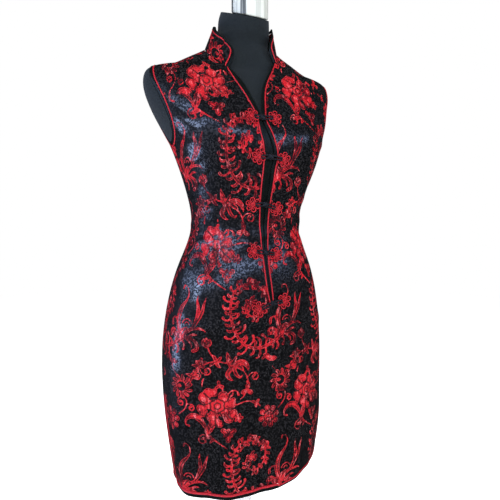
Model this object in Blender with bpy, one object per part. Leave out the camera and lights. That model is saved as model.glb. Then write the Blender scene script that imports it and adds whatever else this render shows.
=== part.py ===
"""Sleeveless cheongsam on a limbless dress form with a round foot.

Metres, +Z up.  The wearer's left is +X and the front faces -Y.  The origin is
the centre of the foot's underside.  Every cloth piece is a thin closed wall
cut from one master surface, the outer face of the dress.  A place on that
surface is an angle round the body (0 at centre front, 90 degrees at the
wearer's left side seam) and a girth number that climbs from hem to neck.
"""
import bpy
import numpy as np
from collections import namedtuple

# ---- driving dimensions -------------------------------------------------
HEM_HEIGHT = 0.525        # hem above the floor
CLOTH = 0.0016            # thickness of the brocade with its lining
COLLAR_CLOTH = 0.0024     # the collar is stiffened
UNDERLAP_CLOTH = 0.0012
GAP = 0.0003              # clearance between neighbouring pieces
NECK_SEAM_GAP = 0.0012    # the collar seam is curved, so its gap is wider
PIPING_WIDTH = 0.0022
PIPING_CROWN = 0.0004     # piping stands this far above the cloth
HEM_BINDING = 0.0034
ARMHOLE_BINDING = 0.0068
COLLAR_BINDING = 0.0048
SLIT_TOP = 0.190          # rise of the top of each side slit
SLIT_GAPE = 0.0030        # each slit's width at the hem
SLIT_MITRE = 0.0160       # length over which the slit's trim tapers out
FRONT_CORNER_RIGHT = 0.008
FRONT_CORNER_LEFT = 0.060
BACK_CORNER = 0.020
HEM_LIFT = 0.0135         # how much higher the hem is cut at the left side
HEM_LIFT_FROM = 8         # degrees round from the middle where it begins to rise
HEM_LIFT_TO = 42          # degrees round where it has risen in full
ARMHOLE_LOW = 0.662       # rise of the armhole's lowest point
ARMHOLE_TOP = 0.180       # half-width at which the shoulder seam ends
SHOULDER_RISE = 0.772     # rise of the widest section
ARMHOLE_FRONT_CUT = 21.5  # degrees cut forward from the side
ARMHOLE_BACK_CUT = 16.0
UNDERARM_DROP = 0.016     # side seams stop this far under an armhole
SLASH_FOOT = 0.360        # rise of the foot of the front opening
FORM_CLEARANCE = 0.0046   # form's skin below the cloth's outer face
SHOULDER_CLEARANCE = 0.0074
FORM_BOTTOM = 0.245       # rise of the form's flat underside
CAP_THICKNESS = 0.0042
FORM_EASE_RISE = 0.700    # the form's clearance grows to the shoulders' from here
FORM_EASE_LENGTH = 0.050
FORM_MIDDLE_TOP = 0.740   # rings follow the front opening's rows up to here
FORM_FADE_RISE = 0.852    # the form's clearance fades out from here
FORM_NECK_RISE = 0.866    # foot of the form's bare neck
FORM_NECK_HEIGHT = 0.056
NECK_FRONT_RISE = 0.888
NECK_FRONT_Y = -0.060
NECK_SLANT = 0.45         # rise per metre towards the back
NECK_BLOCK_X, NECK_BLOCK_Y = 0.002, -0.020
NECK_BLOCK_RADIUS = 0.0352
NECK_BLOCK_TOP = 0.9755   # rise of its flat top
NECK_BLOCK_BEVEL = 0.004
POLE_RADIUS = 0.0125
FOOT_RADIUS = 0.200
FOOT_THICKNESS = 0.008
FOOT_CHAMFER = 0.002

Section = namedtuple("Section", "name rise half_width front back squareness shift")
SECTIONS = (
    Section("hem", 0.0000, 0.1470, 0.0985, 0.0985, 2.25, 0.0),
    Section("lower_skirt", 0.0900, 0.1612, 0.1035, 0.1090, 2.25, 0.0012),
    Section("thigh", 0.1900, 0.1680, 0.1010, 0.1185, 2.25, -0.0008),
    Section("hip", 0.2800, 0.1660, 0.1035, 0.1215, 2.25, -0.0015),
    Section("belly", 0.3600, 0.1545, 0.1065, 0.1135, 2.25, -0.0010),
    Section("high_hip", 0.4300, 0.1355, 0.0985, 0.0985, 2.20, 0.0008),
    Section("waist", 0.5050, 0.1110, 0.0895, 0.0875, 2.15, 0.0020),
    Section("ribs", 0.5600, 0.1185, 0.0980, 0.0870, 2.15, 0.0030),
    Section("under_bust", 0.6150, 0.1375, 0.1110, 0.0900, 2.20, 0.0050),
    Section("bust", 0.6680, 0.1570, 0.1145, 0.0940, 2.25, 0.0030),
    Section("underarm", 0.7100, 0.1755, 0.1040, 0.0970, 2.25, -0.0015),
    Section("chest", 0.7450, 0.1885, 0.0900, 0.0950, 2.20, -0.0050),
    Section("shoulder", 0.7720, 0.1940, 0.0770, 0.0880, 2.15, -0.0055),
    Section("tip", 0.7900, 0.1895, 0.0680, 0.0800, 2.05, -0.0055),
    Section("crest_outer", 0.8005, 0.1590, 0.0625, 0.0740, 2.00, -0.0060),
    Section("crest_inner", 0.8190, 0.1150, 0.0590, 0.0710, 2.00, -0.0075),
    Section("neck_point", 0.8400, 0.0750, 0.0550, 0.0670, 2.00, -0.0090),
    Section("neck_low", 0.8620, 0.0548, 0.0525, 0.0535, 2.00, -0.0062),
    Section("neck_mid", 0.8880, 0.0500, 0.0560, 0.0455, 2.00, -0.0036),
    Section("neck_high", 0.9020, 0.0494, 0.0572, 0.0430, 2.00, -0.0034),
    Section("neck_rim", 0.9250, 0.0455, 0.0585, 0.0380, 2.00, -0.0010),
)
SHOULDER_TILT = 0.030     # the wearer's left shoulder hangs a little higher
BUST_X, BUST_RISE, BUST_OUT = 0.082, 0.664, 0.011
BUST_SPREAD_X, BUST_SPREAD_RISE = 0.040, 0.046

Edge = namedtuple("Edge", "rise edge_x piping_x")
RIGHT_EDGE = (
    Edge(0.8000, -0.0640, -0.0705), Edge(0.7875, -0.0560, -0.0622),
    Edge(0.7675, -0.0417, -0.0532), Edge(0.7480, -0.0329, -0.0437),
    Edge(0.7270, -0.0254, -0.0346), Edge(0.7090, -0.0195, -0.0275),
    Edge(0.6930, -0.0168, -0.0237), Edge(0.6740, -0.0140, -0.0212),
    Edge(0.6510, -0.0085, -0.0152), Edge(0.6310, -0.0060, -0.0124),
    Edge(0.6100, -0.0054, -0.0118), Edge(0.5800, -0.0055, -0.0119),
    Edge(0.5450, -0.0043, -0.0108), Edge(0.5100, -0.0028, -0.0090),
    Edge(0.4700, -0.0017, -0.0068), Edge(0.4200, 0.0005, -0.0034),
    Edge(0.3850, 0.0033, -0.0002), Edge(0.3600, 0.0068, 0.0055),
)
LEFT_EDGE = (
    Edge(0.8250, 0.0405, 0.0460), Edge(0.8120, 0.0330, 0.0382),
    Edge(0.7930, 0.0212, 0.0262), Edge(0.7720, 0.0067, 0.0118),
    Edge(0.7490, -0.0049, 0.0006), Edge(0.7160, -0.0120, -0.0066),
    Edge(0.7010, -0.0140, -0.0084), Edge(0.6900, -0.0138, -0.0078),
    Edge(0.6740, -0.0075, -0.0008), Edge(0.6510, 0.0010, 0.0078),
    Edge(0.6310, 0.0060, 0.0128), Edge(0.6100, 0.0042, 0.0107),
    Edge(0.5800, 0.0030, 0.0094), Edge(0.5450, 0.0008, 0.0071),
    Edge(0.5100, -0.0006, 0.0056), Edge(0.4700, -0.0010, 0.0042),
    Edge(0.4200, 0.0010, 0.0042), Edge(0.3850, 0.0038, 0.0072),
    Edge(0.3600, 0.0072, 0.0085),
)
Neck = namedtuple("Neck", "angle rise")
NECKLINE = (
    Neck(-8, 0.7860), Neck(5, 0.7985), Neck(17, 0.8095), Neck(22, 0.8144), Neck(31, 0.8250),
    Neck(47, 0.8355), Neck(66, 0.8402), Neck(90, 0.8430), Neck(130, 0.8470),
    Neck(180, 0.8480), Neck(230, 0.8470), Neck(270, 0.8410), Neck(281, 0.8372),
    Neck(294, 0.8312), Neck(308, 0.8230), Neck(323.5, 0.8110), Neck(333, 0.8030),
    Neck(342, 0.7920), Neck(352, 0.7800), Neck(362, 0.7690),
)
CollarEnd = namedtuple("CollarEnd", "height forward")
COLLAR_END = (
    CollarEnd(0.000, 0.000), CollarEnd(0.0075, 0.0030), CollarEnd(0.0180, 0.0065),
    CollarEnd(0.0300, 0.0090), CollarEnd(0.0400, 0.0062), CollarEnd(0.0470, -0.0030),
    CollarEnd(0.0495, -0.0150), CollarEnd(0.0500, -0.0300),
)
COLLAR_LEFT_ANGLE, COLLAR_RIGHT_ANGLE = 19.5, 342.8
COLLAR_MIDDLE_X, COLLAR_MIDDLE_Y = -0.0080, -0.0040
COLLAR_RIGHT_LEAN = 23.0  # degrees in from upright, over the wearer's right shoulder
COLLAR_LEFT_LEAN = 12.5
COLLAR_FRONT_LEAN = 5.0   # and at front and back
UNDERLAP_TOP, UNDERLAP_HALF_WIDTH = 0.705, 0.013
Frog = namedtuple("Frog", "name x rise right_x right_rise left_x left_rise radius")
FROGS = (
    Frog("1", -0.0177, 0.6935, -0.0370, 0.6956, 0.0080, 0.6956, 0.0128),
    Frog("2", -0.0025, 0.6278, -0.0247, 0.6268, 0.0245, 0.6246, 0.0120),
    Frog("3", -0.0030, 0.5451, -0.0262, 0.5440, 0.0216, 0.5372, 0.0128),
    Frog("4", -0.0022, 0.4561, -0.0235, 0.4583, 0.0199, 0.4518, 0.0130),
    Frog("5", 0.0067, 0.3639, -0.0205, 0.3550, 0.0310, 0.3662, 0.0140),
)
Paint = namedtuple("Paint", "red green blue roughness metallic")
PAINTS = {
    "brocade": Paint(0.060, 0.012, 0.018, 0.45, 0.0),
    "black_satin": Paint(0.010, 0.010, 0.013, 0.40, 0.0),
    "red_piping": Paint(0.420, 0.015, 0.030, 0.50, 0.0),
    "red_cord": Paint(0.400, 0.012, 0.025, 0.55, 0.0),
    "black_cord": Paint(0.008, 0.008, 0.010, 0.50, 0.0),
    "form_jersey": Paint(0.012, 0.013, 0.017, 0.85, 0.0),
    "neck_block": Paint(0.480, 0.490, 0.510, 0.50, 0.0),
    "stand_metal": Paint(0.620, 0.630, 0.650, 0.45, 0.0),
}


# ---- the master surface -------------------------------------------------
def spline(knots, values, at):
    """Natural cubic spline through short tables."""
    k = np.asarray(knots, float)
    y = np.asarray(values, float)
    h = np.diff(k)
    n = len(k)
    matrix = np.eye(n)
    rhs = np.zeros(n)
    for i in range(1, n - 1):
        matrix[i, i - 1:i + 2] = h[i - 1], 2 * (h[i - 1] + h[i]), h[i]
        rhs[i] = 6 * ((y[i + 1] - y[i]) / h[i] - (y[i] - y[i - 1]) / h[i - 1])
    m = np.linalg.solve(matrix, rhs)
    x = np.asarray(at, float)
    i = np.clip(np.searchsorted(k, x) - 1, 0, n - 2)
    a = (k[i + 1] - x) / h[i]
    b = (x - k[i]) / h[i]
    bend = ((a ** 3 - a) * m[i] + (b ** 3 - b) * m[i + 1]) * h[i] ** 2 / 6
    return a * y[i] + b * y[i + 1] + bend


RISES = np.array([s.rise for s in SECTIONS])
WIDTHS = np.array([s.half_width for s in SECTIONS])
GIRTHS = np.concatenate([[0], np.cumsum(np.hypot(np.diff(RISES), np.diff(WIDTHS)))])


def column(name, girth):
    return spline(GIRTHS, [getattr(s, name) for s in SECTIONS], girth)


FINE_GIRTH = np.linspace(0, GIRTHS[-1], 3000)
FINE_RISE = column("rise", FINE_GIRTH)
FINE_WIDTH = column("half_width", FINE_GIRTH)


def girth_at(rise):
    return np.interp(rise, FINE_RISE, FINE_GIRTH)


def surface(place):
    """Point on the dress's outer face; place[..., 0] angle, place[..., 1] girth."""
    angle, girth = place[..., 0], place[..., 1]
    s, c = np.sin(angle), np.cos(angle)
    n = column("squareness", girth)
    reach = (np.abs(s) ** n + np.abs(c) ** n) ** (-1 / n)
    depth = np.where(c > 0, column("front", girth), column("back", girth))
    x = column("half_width", girth) * s * reach + column("shift", girth)
    y = -depth * c * reach
    z = column("rise", girth)
    apart = ((np.abs(x) - BUST_X) / BUST_SPREAD_X) ** 2
    above = ((z - BUST_RISE) / BUST_SPREAD_RISE) ** 2
    y = y - np.where(c > 0, BUST_OUT, 0) * np.exp(-apart - above) * np.clip(c, 0, 1) ** 0.5
    tilted = np.clip((z - 0.64) / 0.16, 0, 1)
    z = z + SHOULDER_TILT * x * tilted ** 2 * (3 - 2 * tilted)
    return np.stack([x, y, z + HEM_HEIGHT], -1)


def slopes(place):
    e = 1e-4
    round_step = np.array([e, 0])
    up_step = np.array([0, e])
    along = (surface(place + round_step) - surface(place - round_step)) / (2 * e)
    up = (surface(place + up_step) - surface(place - up_step)) / (2 * e)
    return along, up


def unit(v):
    return v / np.maximum(np.linalg.norm(v, axis=-1, keepdims=True), 1e-12)


def outward(place):
    along, up = slopes(place)
    return unit(np.cross(along, up))


def lifted(place, lift):
    return surface(place) + outward(place) * lift


def moved(place, right, up):
    """Move places over the cloth by metres to the wearer's left and upwards."""
    along, climb = slopes(place)
    east = unit(along)
    north = unit(np.cross(outward(place), east))
    step = east * np.asarray(right)[..., None] + north * np.asarray(up)[..., None]
    g11 = (along * along).sum(-1)
    g12 = (along * climb).sum(-1)
    g22 = (climb * climb).sum(-1)
    b1 = (step * along).sum(-1)
    b2 = (step * climb).sum(-1)
    det = g11 * g22 - g12 ** 2
    d_angle = (g22 * b1 - g12 * b2) / det
    d_girth = (g11 * b2 - g12 * b1) / det
    return place + np.stack([d_angle, d_girth], -1)


def sideways(line, distance):
    """Shift a line of places to the left of its direction of travel, over the cloth."""
    points = surface(line)
    ahead = unit(np.gradient(points, axis=0))
    side = unit(np.cross(outward(line), ahead))
    along, climb = slopes(line)
    step = side * np.asarray(distance)[..., None]
    g11 = (along * along).sum(-1)
    g12 = (along * climb).sum(-1)
    g22 = (climb * climb).sum(-1)
    b1 = (step * along).sum(-1)
    b2 = (step * climb).sum(-1)
    det = g11 * g22 - g12 ** 2
    return line + np.stack([(g22 * b1 - g12 * b2) / det, (g11 * b2 - g12 * b1) / det], -1)


def place_at_x(x, rise):
    """Place on the front with a given sideways position and rise."""
    angles = np.radians(np.linspace(-60, 60, 241))
    places = []
    for one_x, one_rise in zip(np.atleast_1d(x), np.atleast_1d(rise)):
        girth = girth_at(one_rise)
        row = surface(np.stack([angles, np.full_like(angles, girth)], -1))
        places.append((np.interp(one_x, row[:, 0], angles), girth))
    return np.array(places)


# ---- seam and edge lines ------------------------------------------------
def neckline(angles):
    """Places of the collar seam at angles from -8 to 362 degrees."""
    rises = spline([n.angle for n in NECKLINE], [n.rise for n in NECKLINE], angles)
    return np.stack([np.radians(angles), girth_at(rises)], -1)


def armhole(side, count):
    """Closed edge line of an armhole: up its front half, down its back half."""
    low = girth_at(ARMHOLE_LOW)
    after = FINE_GIRTH > girth_at(SHOULDER_RISE)
    top = np.interp(-ARMHOLE_TOP, -FINE_WIDTH[after], FINE_GIRTH[after])
    turn = np.linspace(0, 2 * np.pi, 2 * count - 1)
    cut = np.where(turn <= np.pi, ARMHOLE_FRONT_CUT, ARMHOLE_BACK_CUT)
    angle = side * np.radians(90 - cut * np.sin(turn))
    girth = low + (top - low) * (1 - np.cos(turn)) / 2
    return np.stack([angle, girth], -1)


def loop_sideways(line, distance):
    """As sideways, for a line whose last sample is its first."""
    longer = np.concatenate([line[-3:-1], line, line[1:3]])
    return sideways(longer, distance)[2:-2]


def seam_angle(girth, width):
    """Angle that spans a width of cloth at the side seam."""
    place = np.stack([np.full_like(girth, np.pi / 2), girth], -1)
    return width / np.linalg.norm(slopes(place)[0], axis=-1)


def lifted_hem(turn):
    """Girth of the hem, which is cut a little higher at the left side."""
    from_middle = 90 - np.abs(np.degrees(turn) - 90)
    share = np.clip((from_middle - HEM_LIFT_FROM) / (HEM_LIFT_TO - HEM_LIFT_FROM), 0, 1)
    return girth_at(HEM_LIFT * share * share * (3 - 2 * share))


def rim(start_seam, end_seam, start_corner, end_corner):
    """Edge of one skirt panel: down a slit, round the hem, up the other slit."""
    top = girth_at(SLIT_TOP - GAP)
    sides = []
    for seam, radius, way in ((start_seam, start_corner, 1), (end_seam, end_corner, -1)):
        corner_place = np.array([[seam, 0.0]])
        along, climb = slopes(corner_place)
        turn = np.radians(np.linspace(0, 90, ARC_SAMPLES))
        arc_angle = way * radius * (1 - np.cos(turn)) / np.linalg.norm(along)
        arc_girth = (radius * (1 - np.sin(turn)) / np.linalg.norm(climb)
                     + lifted_hem(seam))
        straight = np.linspace(top, arc_girth[0], SLIT_SAMPLES + 1)[:-1]
        girth = np.concatenate([straight, arc_girth])
        bend = np.concatenate([np.zeros(SLIT_SAMPLES), arc_angle])
        half_slit = GAP / 2 + SLIT_GAPE / 2 * (top - girth) / top
        angle = seam + bend + way * seam_angle(girth, half_slit)
        sides.append(np.stack([angle, girth], -1))
    first, last = sides[0], sides[1][::-1]
    middle = np.linspace(first[-1, 0], last[0, 0], HEM_SAMPLES + 2)[1:-1]
    hem = np.stack([middle, lifted_hem(middle)], -1)
    return np.concatenate([first, hem, last])


# ---- closed bodies ------------------------------------------------------
MATERIALS = {}


def material(paint_name):
    if paint_name not in MATERIALS:
        paint = PAINTS[paint_name]
        made = bpy.data.materials.new(paint_name)
        made.use_nodes = True
        shader = made.node_tree.nodes["Principled BSDF"]
        shader.inputs["Base Color"].default_value = (paint.red, paint.green, paint.blue, 1)
        shader.inputs["Roughness"].default_value = paint.roughness
        shader.inputs["Metallic"].default_value = paint.metallic
        MATERIALS[paint_name] = made
    return MATERIALS[paint_name]


def body(name, points, faces, paint_name):
    """Make one named mesh, facing outwards."""
    points = np.asarray(points, float)
    volume = 0.0
    for face in faces:
        for i in range(1, len(face) - 1):
            a, b, c = points[face[0]], points[face[i]], points[face[i + 1]]
            volume += np.dot(a, np.cross(b, c)) / 6
    if volume < 0:
        faces = [face[::-1] for face in faces]
    mesh = bpy.data.meshes.new(name)
    mesh.from_pydata([tuple(p) for p in points], [], [tuple(f) for f in faces])
    mesh.materials.append(material(paint_name))
    mesh.update()
    made = bpy.data.objects.new(name, mesh)
    bpy.context.scene.collection.objects.link(made)
    return made


def skin(grids):
    """Join grids of 3-D rows into one skin, sharing the points they have in common."""
    points = []
    index = {}
    faces = []

    def number(p):
        key = tuple(np.round(p[:3] / 2e-6).astype(int))
        if key not in index:
            index[key] = len(points)
            points.append(p)
        return index[key]

    for grid in grids:
        rows, columns = grid.shape[:2]
        ids = [[number(grid[r, c]) for c in range(columns)] for r in range(rows)]
        for r in range(rows - 1):
            for c in range(columns - 1):
                loop = [ids[r][c], ids[r][c + 1], ids[r + 1][c + 1], ids[r + 1][c]]
                kept = [v for k, v in enumerate(loop) if v != loop[k - 1]]
                if len(set(kept)) >= 3:
                    faces.append(kept)
    return np.array(points), faces


def wall(name, grids, thickness, paint_name, crown=0.0):
    """Thicken a skin inwards.  Each grid point holds x, y, z and its normal."""
    points, faces = skin(grids)
    count = len(points)
    outer = points[:, :3] + points[:, 3:6] * (points[:, 6:7] * crown)
    inner = points[:, :3] - points[:, 3:6] * thickness
    all_faces = list(faces) + [[v + count for v in face[::-1]] for face in faces]
    used = {}
    for face in faces:
        for k in range(len(face)):
            used[(face[k - 1], face[k])] = True
    for a, b in used:
        if (b, a) not in used:
            all_faces.append([b, a, a + count, b + count])
    return body(name, np.concatenate([outer, inner]), all_faces, paint_name)


def laid(places, lift=0.0, crown=None):
    """Grid of places as 3-D points with normals and a crown weight."""
    weight = np.zeros(places.shape[:-1]) if crown is None else crown
    return np.concatenate([lifted(places, lift), outward(places), weight[..., None]], -1)


def coons(bottom, top, left, right):
    """Fill four edge lines of places with a grid; rows run from bottom to top."""
    columns, rows = len(bottom), len(left)
    u = np.linspace(0, 1, columns)[None, :, None]
    v = np.linspace(0, 1, rows)[:, None, None]
    across = (1 - v) * bottom[None] + v * top[None]
    upward = (1 - u) * left[:, None] + u * right[:, None]
    corners = ((1 - u) * (1 - v) * bottom[0] + u * (1 - v) * bottom[-1]
               + (1 - u) * v * top[0] + u * v * top[-1])
    return across + upward - corners


def strip(name, first, second, thickness, paint_name, crown=0.0, lift=0.0):
    """Long thin piece between two lines of places."""
    if not crown:
        return wall(name, [laid(np.stack([first, second]), lift)], thickness, paint_name)
    places = np.stack([first, (first + second) / 2, second])
    weight = np.zeros(places.shape[:-1])
    weight[1] = 1
    return wall(name, [laid(places, lift, weight)], thickness, paint_name, crown)


def lathe(name, profile, centre, axis, paint_name, segments=36):
    """Solid of revolution; profile rows are radius, height along the axis."""
    axis = unit(np.asarray(axis, float))
    side = unit(np.cross(axis, [0.31, 0.9, 0.27]))
    other = np.cross(axis, side)
    turns = np.linspace(0, 2 * np.pi, segments, endpoint=False)
    points = []
    for radius, height in profile:
        for turn in turns:
            spoke = side * np.cos(turn) + other * np.sin(turn)
            points.append(np.asarray(centre) + axis * height + spoke * radius)
    faces = []
    for r in range(len(profile) - 1):
        for s in range(segments):
            a, b = r * segments + s, r * segments + (s + 1) % segments
            faces.append([a, b, b + segments, a + segments])
    faces.append(list(range(segments))[::-1])
    last = (len(profile) - 1) * segments
    faces.append(list(range(last, last + segments)))
    return body(name, points, faces, paint_name)


# ---- the dress ----------------------------------------------------------
ARC_SAMPLES, SLIT_SAMPLES, HEM_SAMPLES = 5, 6, 13
SEAM_SAMPLES, ARMHOLE_SAMPLES = 16, 13
NECK_SAMPLES = 8
BACK_SEAM_SAMPLES, BACK_NECK_SAMPLES = 10, 6
FRONT_SEAM_RISE = SLASH_FOOT - GAP
SEAM_START = SLIT_TOP + 0.003
OPENING_BEND, OPENING_TOP = 0.700, 0.788   # rises where the front edges bend and end
LEFT_TOP_STEP = 0.0225                     # the left edge ends this much higher
OPENING_RISES = np.concatenate([np.linspace(SLASH_FOOT, 0.600, 13),
                                np.linspace(0.600, OPENING_TOP, 9)[1:]])


def skirt_lines(start_seam, end_seam, start_corner, end_corner):
    """Rim line of a skirt panel, then the lines where its trim and cloth begin."""
    line = rim(start_seam, end_seam, start_corner, end_corner)
    width = np.clip((SLIT_TOP - column("rise", line[:, 1])) / SLIT_MITRE, 0.06, 1)
    binding = HEM_BINDING * width
    piping = PIPING_WIDTH * width
    return (line, sideways(line, binding), sideways(line, binding + GAP),
            sideways(line, binding + GAP + piping),
            sideways(line, binding + piping + 2 * GAP))


def armhole_lines(side):
    """Edge line of an armhole, then the lines where its trim and cloth begin."""
    line = armhole(side, ARMHOLE_SAMPLES)
    reach = (ARMHOLE_BINDING, ARMHOLE_BINDING + GAP,
             ARMHOLE_BINDING + GAP + PIPING_WIDTH,
             ARMHOLE_BINDING + 2 * GAP + PIPING_WIDTH)
    return [line] + [loop_sideways(line, side * r) for r in reach]


def opening_lines(table, way, top_rise):
    """Edge, binding side, piping sides and cloth line of one front edge, foot to neck."""
    stretch = np.clip((OPENING_RISES - OPENING_BEND) / (OPENING_TOP - OPENING_BEND), 0, 1)
    rises = OPENING_RISES + stretch * (top_rise - OPENING_TOP)
    rows = sorted(table, key=lambda row: row.rise)
    knots = [row.rise for row in rows]
    edge = place_at_x(spline(knots, [row.edge_x for row in rows], rises), rises)
    pipe = place_at_x(spline(knots, [row.piping_x for row in rows], rises), rises)
    lines = (edge, sideways(pipe, -way * GAP), pipe, sideways(pipe, way * PIPING_WIDTH),
             sideways(pipe, way * (PIPING_WIDTH + GAP)))
    for line in lines:
        line[0, 1] = girth_at(SLASH_FOOT)
        turn = np.degrees(line[-1, 0])
        seam_place = neckline(np.array([turn + 360 if turn < 0 else turn]))
        line[-1, 1] = seam_place[0, 1] - 1.6 * GAP
    return lines


def seam(angle, way, low_rise, high_rise, count):
    """Vertical seam line at an angle, half a gap to one side of it."""
    girth = np.linspace(girth_at(low_rise), girth_at(high_rise), count)
    return np.stack([angle + way * seam_angle(girth, GAP / 2), girth], -1)


def kept_clear(line, angle, way):
    """Keep a line at least half a gap to one side of a seam's angle."""
    limit = angle + way * seam_angle(line[:, 1], GAP / 2)
    held = np.maximum(line[:, 0], limit) if way > 0 else np.minimum(line[:, 0], limit)
    return np.stack([held, line[:, 1]], -1)


def neck_edge(first_angle, last_angle, count):
    """Top edge of the panels, a little below the collar seam."""
    line = neckline(np.linspace(first_angle, last_angle, count))
    return moved(line, np.zeros(count), np.full(count, -NECK_SEAM_GAP))


RIGHT_SIDE, LEFT_SIDE = -np.pi / 2, np.pi / 2
front_skirt = skirt_lines(RIGHT_SIDE, LEFT_SIDE, FRONT_CORNER_RIGHT, FRONT_CORNER_LEFT)
back_skirt = skirt_lines(LEFT_SIDE, 3 * LEFT_SIDE, BACK_CORNER, BACK_CORNER)
right_hole = armhole_lines(-1)
left_hole = armhole_lines(1)
right_front = opening_lines(RIGHT_EDGE, 1, OPENING_TOP)
left_front = opening_lines(LEFT_EDGE, -1, OPENING_TOP + LEFT_TOP_STEP)


def front_panel():
    """Front in one piece: whole below the slash, two leaves above it."""
    cloth = front_skirt[-1]
    middle_of_arc = SLIT_SAMPLES + ARC_SAMPLES // 2
    right_low = cloth[middle_of_arc::-1]
    left_low = cloth[-middle_of_arc - 1:]
    right_seam = seam(RIGHT_SIDE, 1, SEAM_START, FRONT_SEAM_RISE, 5)
    left_seam = seam(LEFT_SIDE, -1, SEAM_START, FRONT_SEAM_RISE, 5)
    hem = cloth[middle_of_arc:len(cloth) - middle_of_arc]
    foot = [np.array([[line[0, 0], girth_at(FRONT_SEAM_RISE)]])
            for line in (right_front[-1], left_front[-1])]
    halves = len(hem) // 2
    right_waist = np.linspace(right_seam[-1], foot[0][0], halves)
    left_waist = np.linspace(foot[1][0], left_seam[-1], len(hem) - halves)
    lower = coons(hem, np.concatenate([right_waist, left_waist]),
                  np.concatenate([right_low, right_seam]),
                  np.concatenate([left_low, left_seam]))

    leaves = []
    for side, hole, front, waist in ((-1, right_hole, right_front, right_waist),
                                     (1, left_hole, left_front, left_waist)):
        angle = side * np.pi / 2
        seam_line = seam(angle, -side, FRONT_SEAM_RISE, ARMHOLE_LOW - UNDERARM_DROP, SEAM_SAMPLES)
        hole_line = kept_clear(hole[-1][:ARMHOLE_SAMPLES], angle, -side)
        outer = np.concatenate([seam_line, hole_line])
        start = np.degrees(front[-1][-1, 0]) + side * 1.2
        if side < 0:
            neck = neck_edge(start + 360, 270, NECK_SAMPLES)
            neck = neck - [2 * np.pi, 0]
        else:
            neck = neck_edge(start, 90, NECK_SAMPLES)
        neck = kept_clear(neck, angle, -side)
        foot_place = waist[-1] if side < 0 else waist[0]
        inner = np.concatenate([foot_place[None], front[-1][1:], neck])
        shoulder = np.linspace(outer[-1], neck[-1], len(waist))
        shoulder[:, 0] = angle - side * seam_angle(shoulder[:, 1], GAP / 2)
        outer[-1], inner[-1] = shoulder[0], shoulder[-1]
        if side < 0:
            leaves.append(coons(waist, shoulder, outer, inner))
        else:
            leaves.append(coons(waist, shoulder[::-1], inner, outer))
    grids = [laid(lower)] + [laid(leaf) for leaf in leaves]
    return wall("front_panel", grids, CLOTH, "brocade")


def back_panel():
    """Back in two halves joined down the centre line."""
    cloth = back_skirt[-1]
    corner = SLIT_SAMPLES + ARC_SAMPLES // 2
    hem = cloth[corner:len(cloth) - corner]
    middle = len(hem) // 2
    hem[middle] = (np.pi, 0.5 * (hem[middle - 1, 1] + hem[middle + 1, 1]))
    rows = corner + 1 + BACK_SEAM_SAMPLES + ARMHOLE_SAMPLES
    nape = neck_edge(180, 180, 1)[0, 1]
    below = corner + 1 + BACK_SEAM_SAMPLES
    chest = girth_at(ARMHOLE_LOW - 0.025)
    spine_girth = np.concatenate([
        np.linspace(hem[middle, 1], chest, below + 1),
        np.linspace(chest, nape, rows - BACK_NECK_SAMPLES - below)[1:]])
    spine = np.stack([np.full_like(spine_girth, np.pi), spine_girth], -1)
    grids = []
    for side, low_line, hole, angle in ((1, cloth[corner::-1], left_hole, LEFT_SIDE),
                                        (-1, cloth[-corner - 1:], right_hole, 3 * LEFT_SIDE)):
        seam_line = seam(angle, side, SEAM_START, ARMHOLE_LOW - UNDERARM_DROP,
                         BACK_SEAM_SAMPLES)
        back_half = hole[-1][ARMHOLE_SAMPLES - 1:][::-1]
        if side < 0:
            back_half = back_half + [2 * np.pi, 0]
        outer = np.concatenate([low_line, seam_line, kept_clear(back_half, angle, side)])
        neck = neck_edge(180, np.degrees(angle), BACK_NECK_SAMPLES + 1)
        neck = kept_clear(neck, angle, side)
        inner = np.concatenate([spine, neck[1:]])
        half_hem = hem[:middle + 1] if side > 0 else hem[middle:]
        shoulder = np.linspace(outer[-1], neck[-1], len(half_hem))
        shoulder[:, 0] = angle + side * seam_angle(shoulder[:, 1], GAP / 2)
        outer[-1], inner[-1] = shoulder[0], shoulder[-1]
        if side > 0:
            grids.append(laid(coons(half_hem, shoulder, outer, inner)))
        else:
            grids.append(laid(coons(half_hem, shoulder[::-1], inner, outer)))
    return wall("back_panel", grids, CLOTH, "brocade")


def trims():
    for name, lines in (("front", front_skirt), ("back", back_skirt)):
        strip("hem_binding_" + name, lines[0], lines[1], CLOTH, "black_satin")
        strip("hem_piping_" + name, lines[2], lines[3], CLOTH, "red_piping", PIPING_CROWN)
    for name, lines in (("right", right_hole), ("left", left_hole)):
        strip("armhole_binding_" + name, lines[0], lines[1], CLOTH, "black_satin")
        strip("armhole_piping_" + name, lines[2], lines[3], CLOTH, "red_piping",
              PIPING_CROWN)
    for name, lines in (("right", right_front), ("left", left_front)):
        strip("front_binding_" + name, lines[0], lines[1], CLOTH, "black_satin")
        strip("front_piping_" + name, lines[2], lines[3], CLOTH, "red_piping",
              PIPING_CROWN)


def underlap():
    rises = OPENING_RISES[OPENING_RISES < UNDERLAP_TOP]
    rows = sorted(RIGHT_EDGE, key=lambda row: row.rise)
    other = sorted(LEFT_EDGE, key=lambda row: row.rise)
    middle = (spline([r.rise for r in rows], [r.edge_x for r in rows], rises)
              + spline([r.rise for r in other], [r.edge_x for r in other], rises)) / 2
    strip("underlap", place_at_x(middle - UNDERLAP_HALF_WIDTH, rises),
          place_at_x(middle + UNDERLAP_HALF_WIDTH, rises), UNDERLAP_CLOTH, "black_satin",
          lift=-(CLOTH + 2.4 * GAP))


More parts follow.
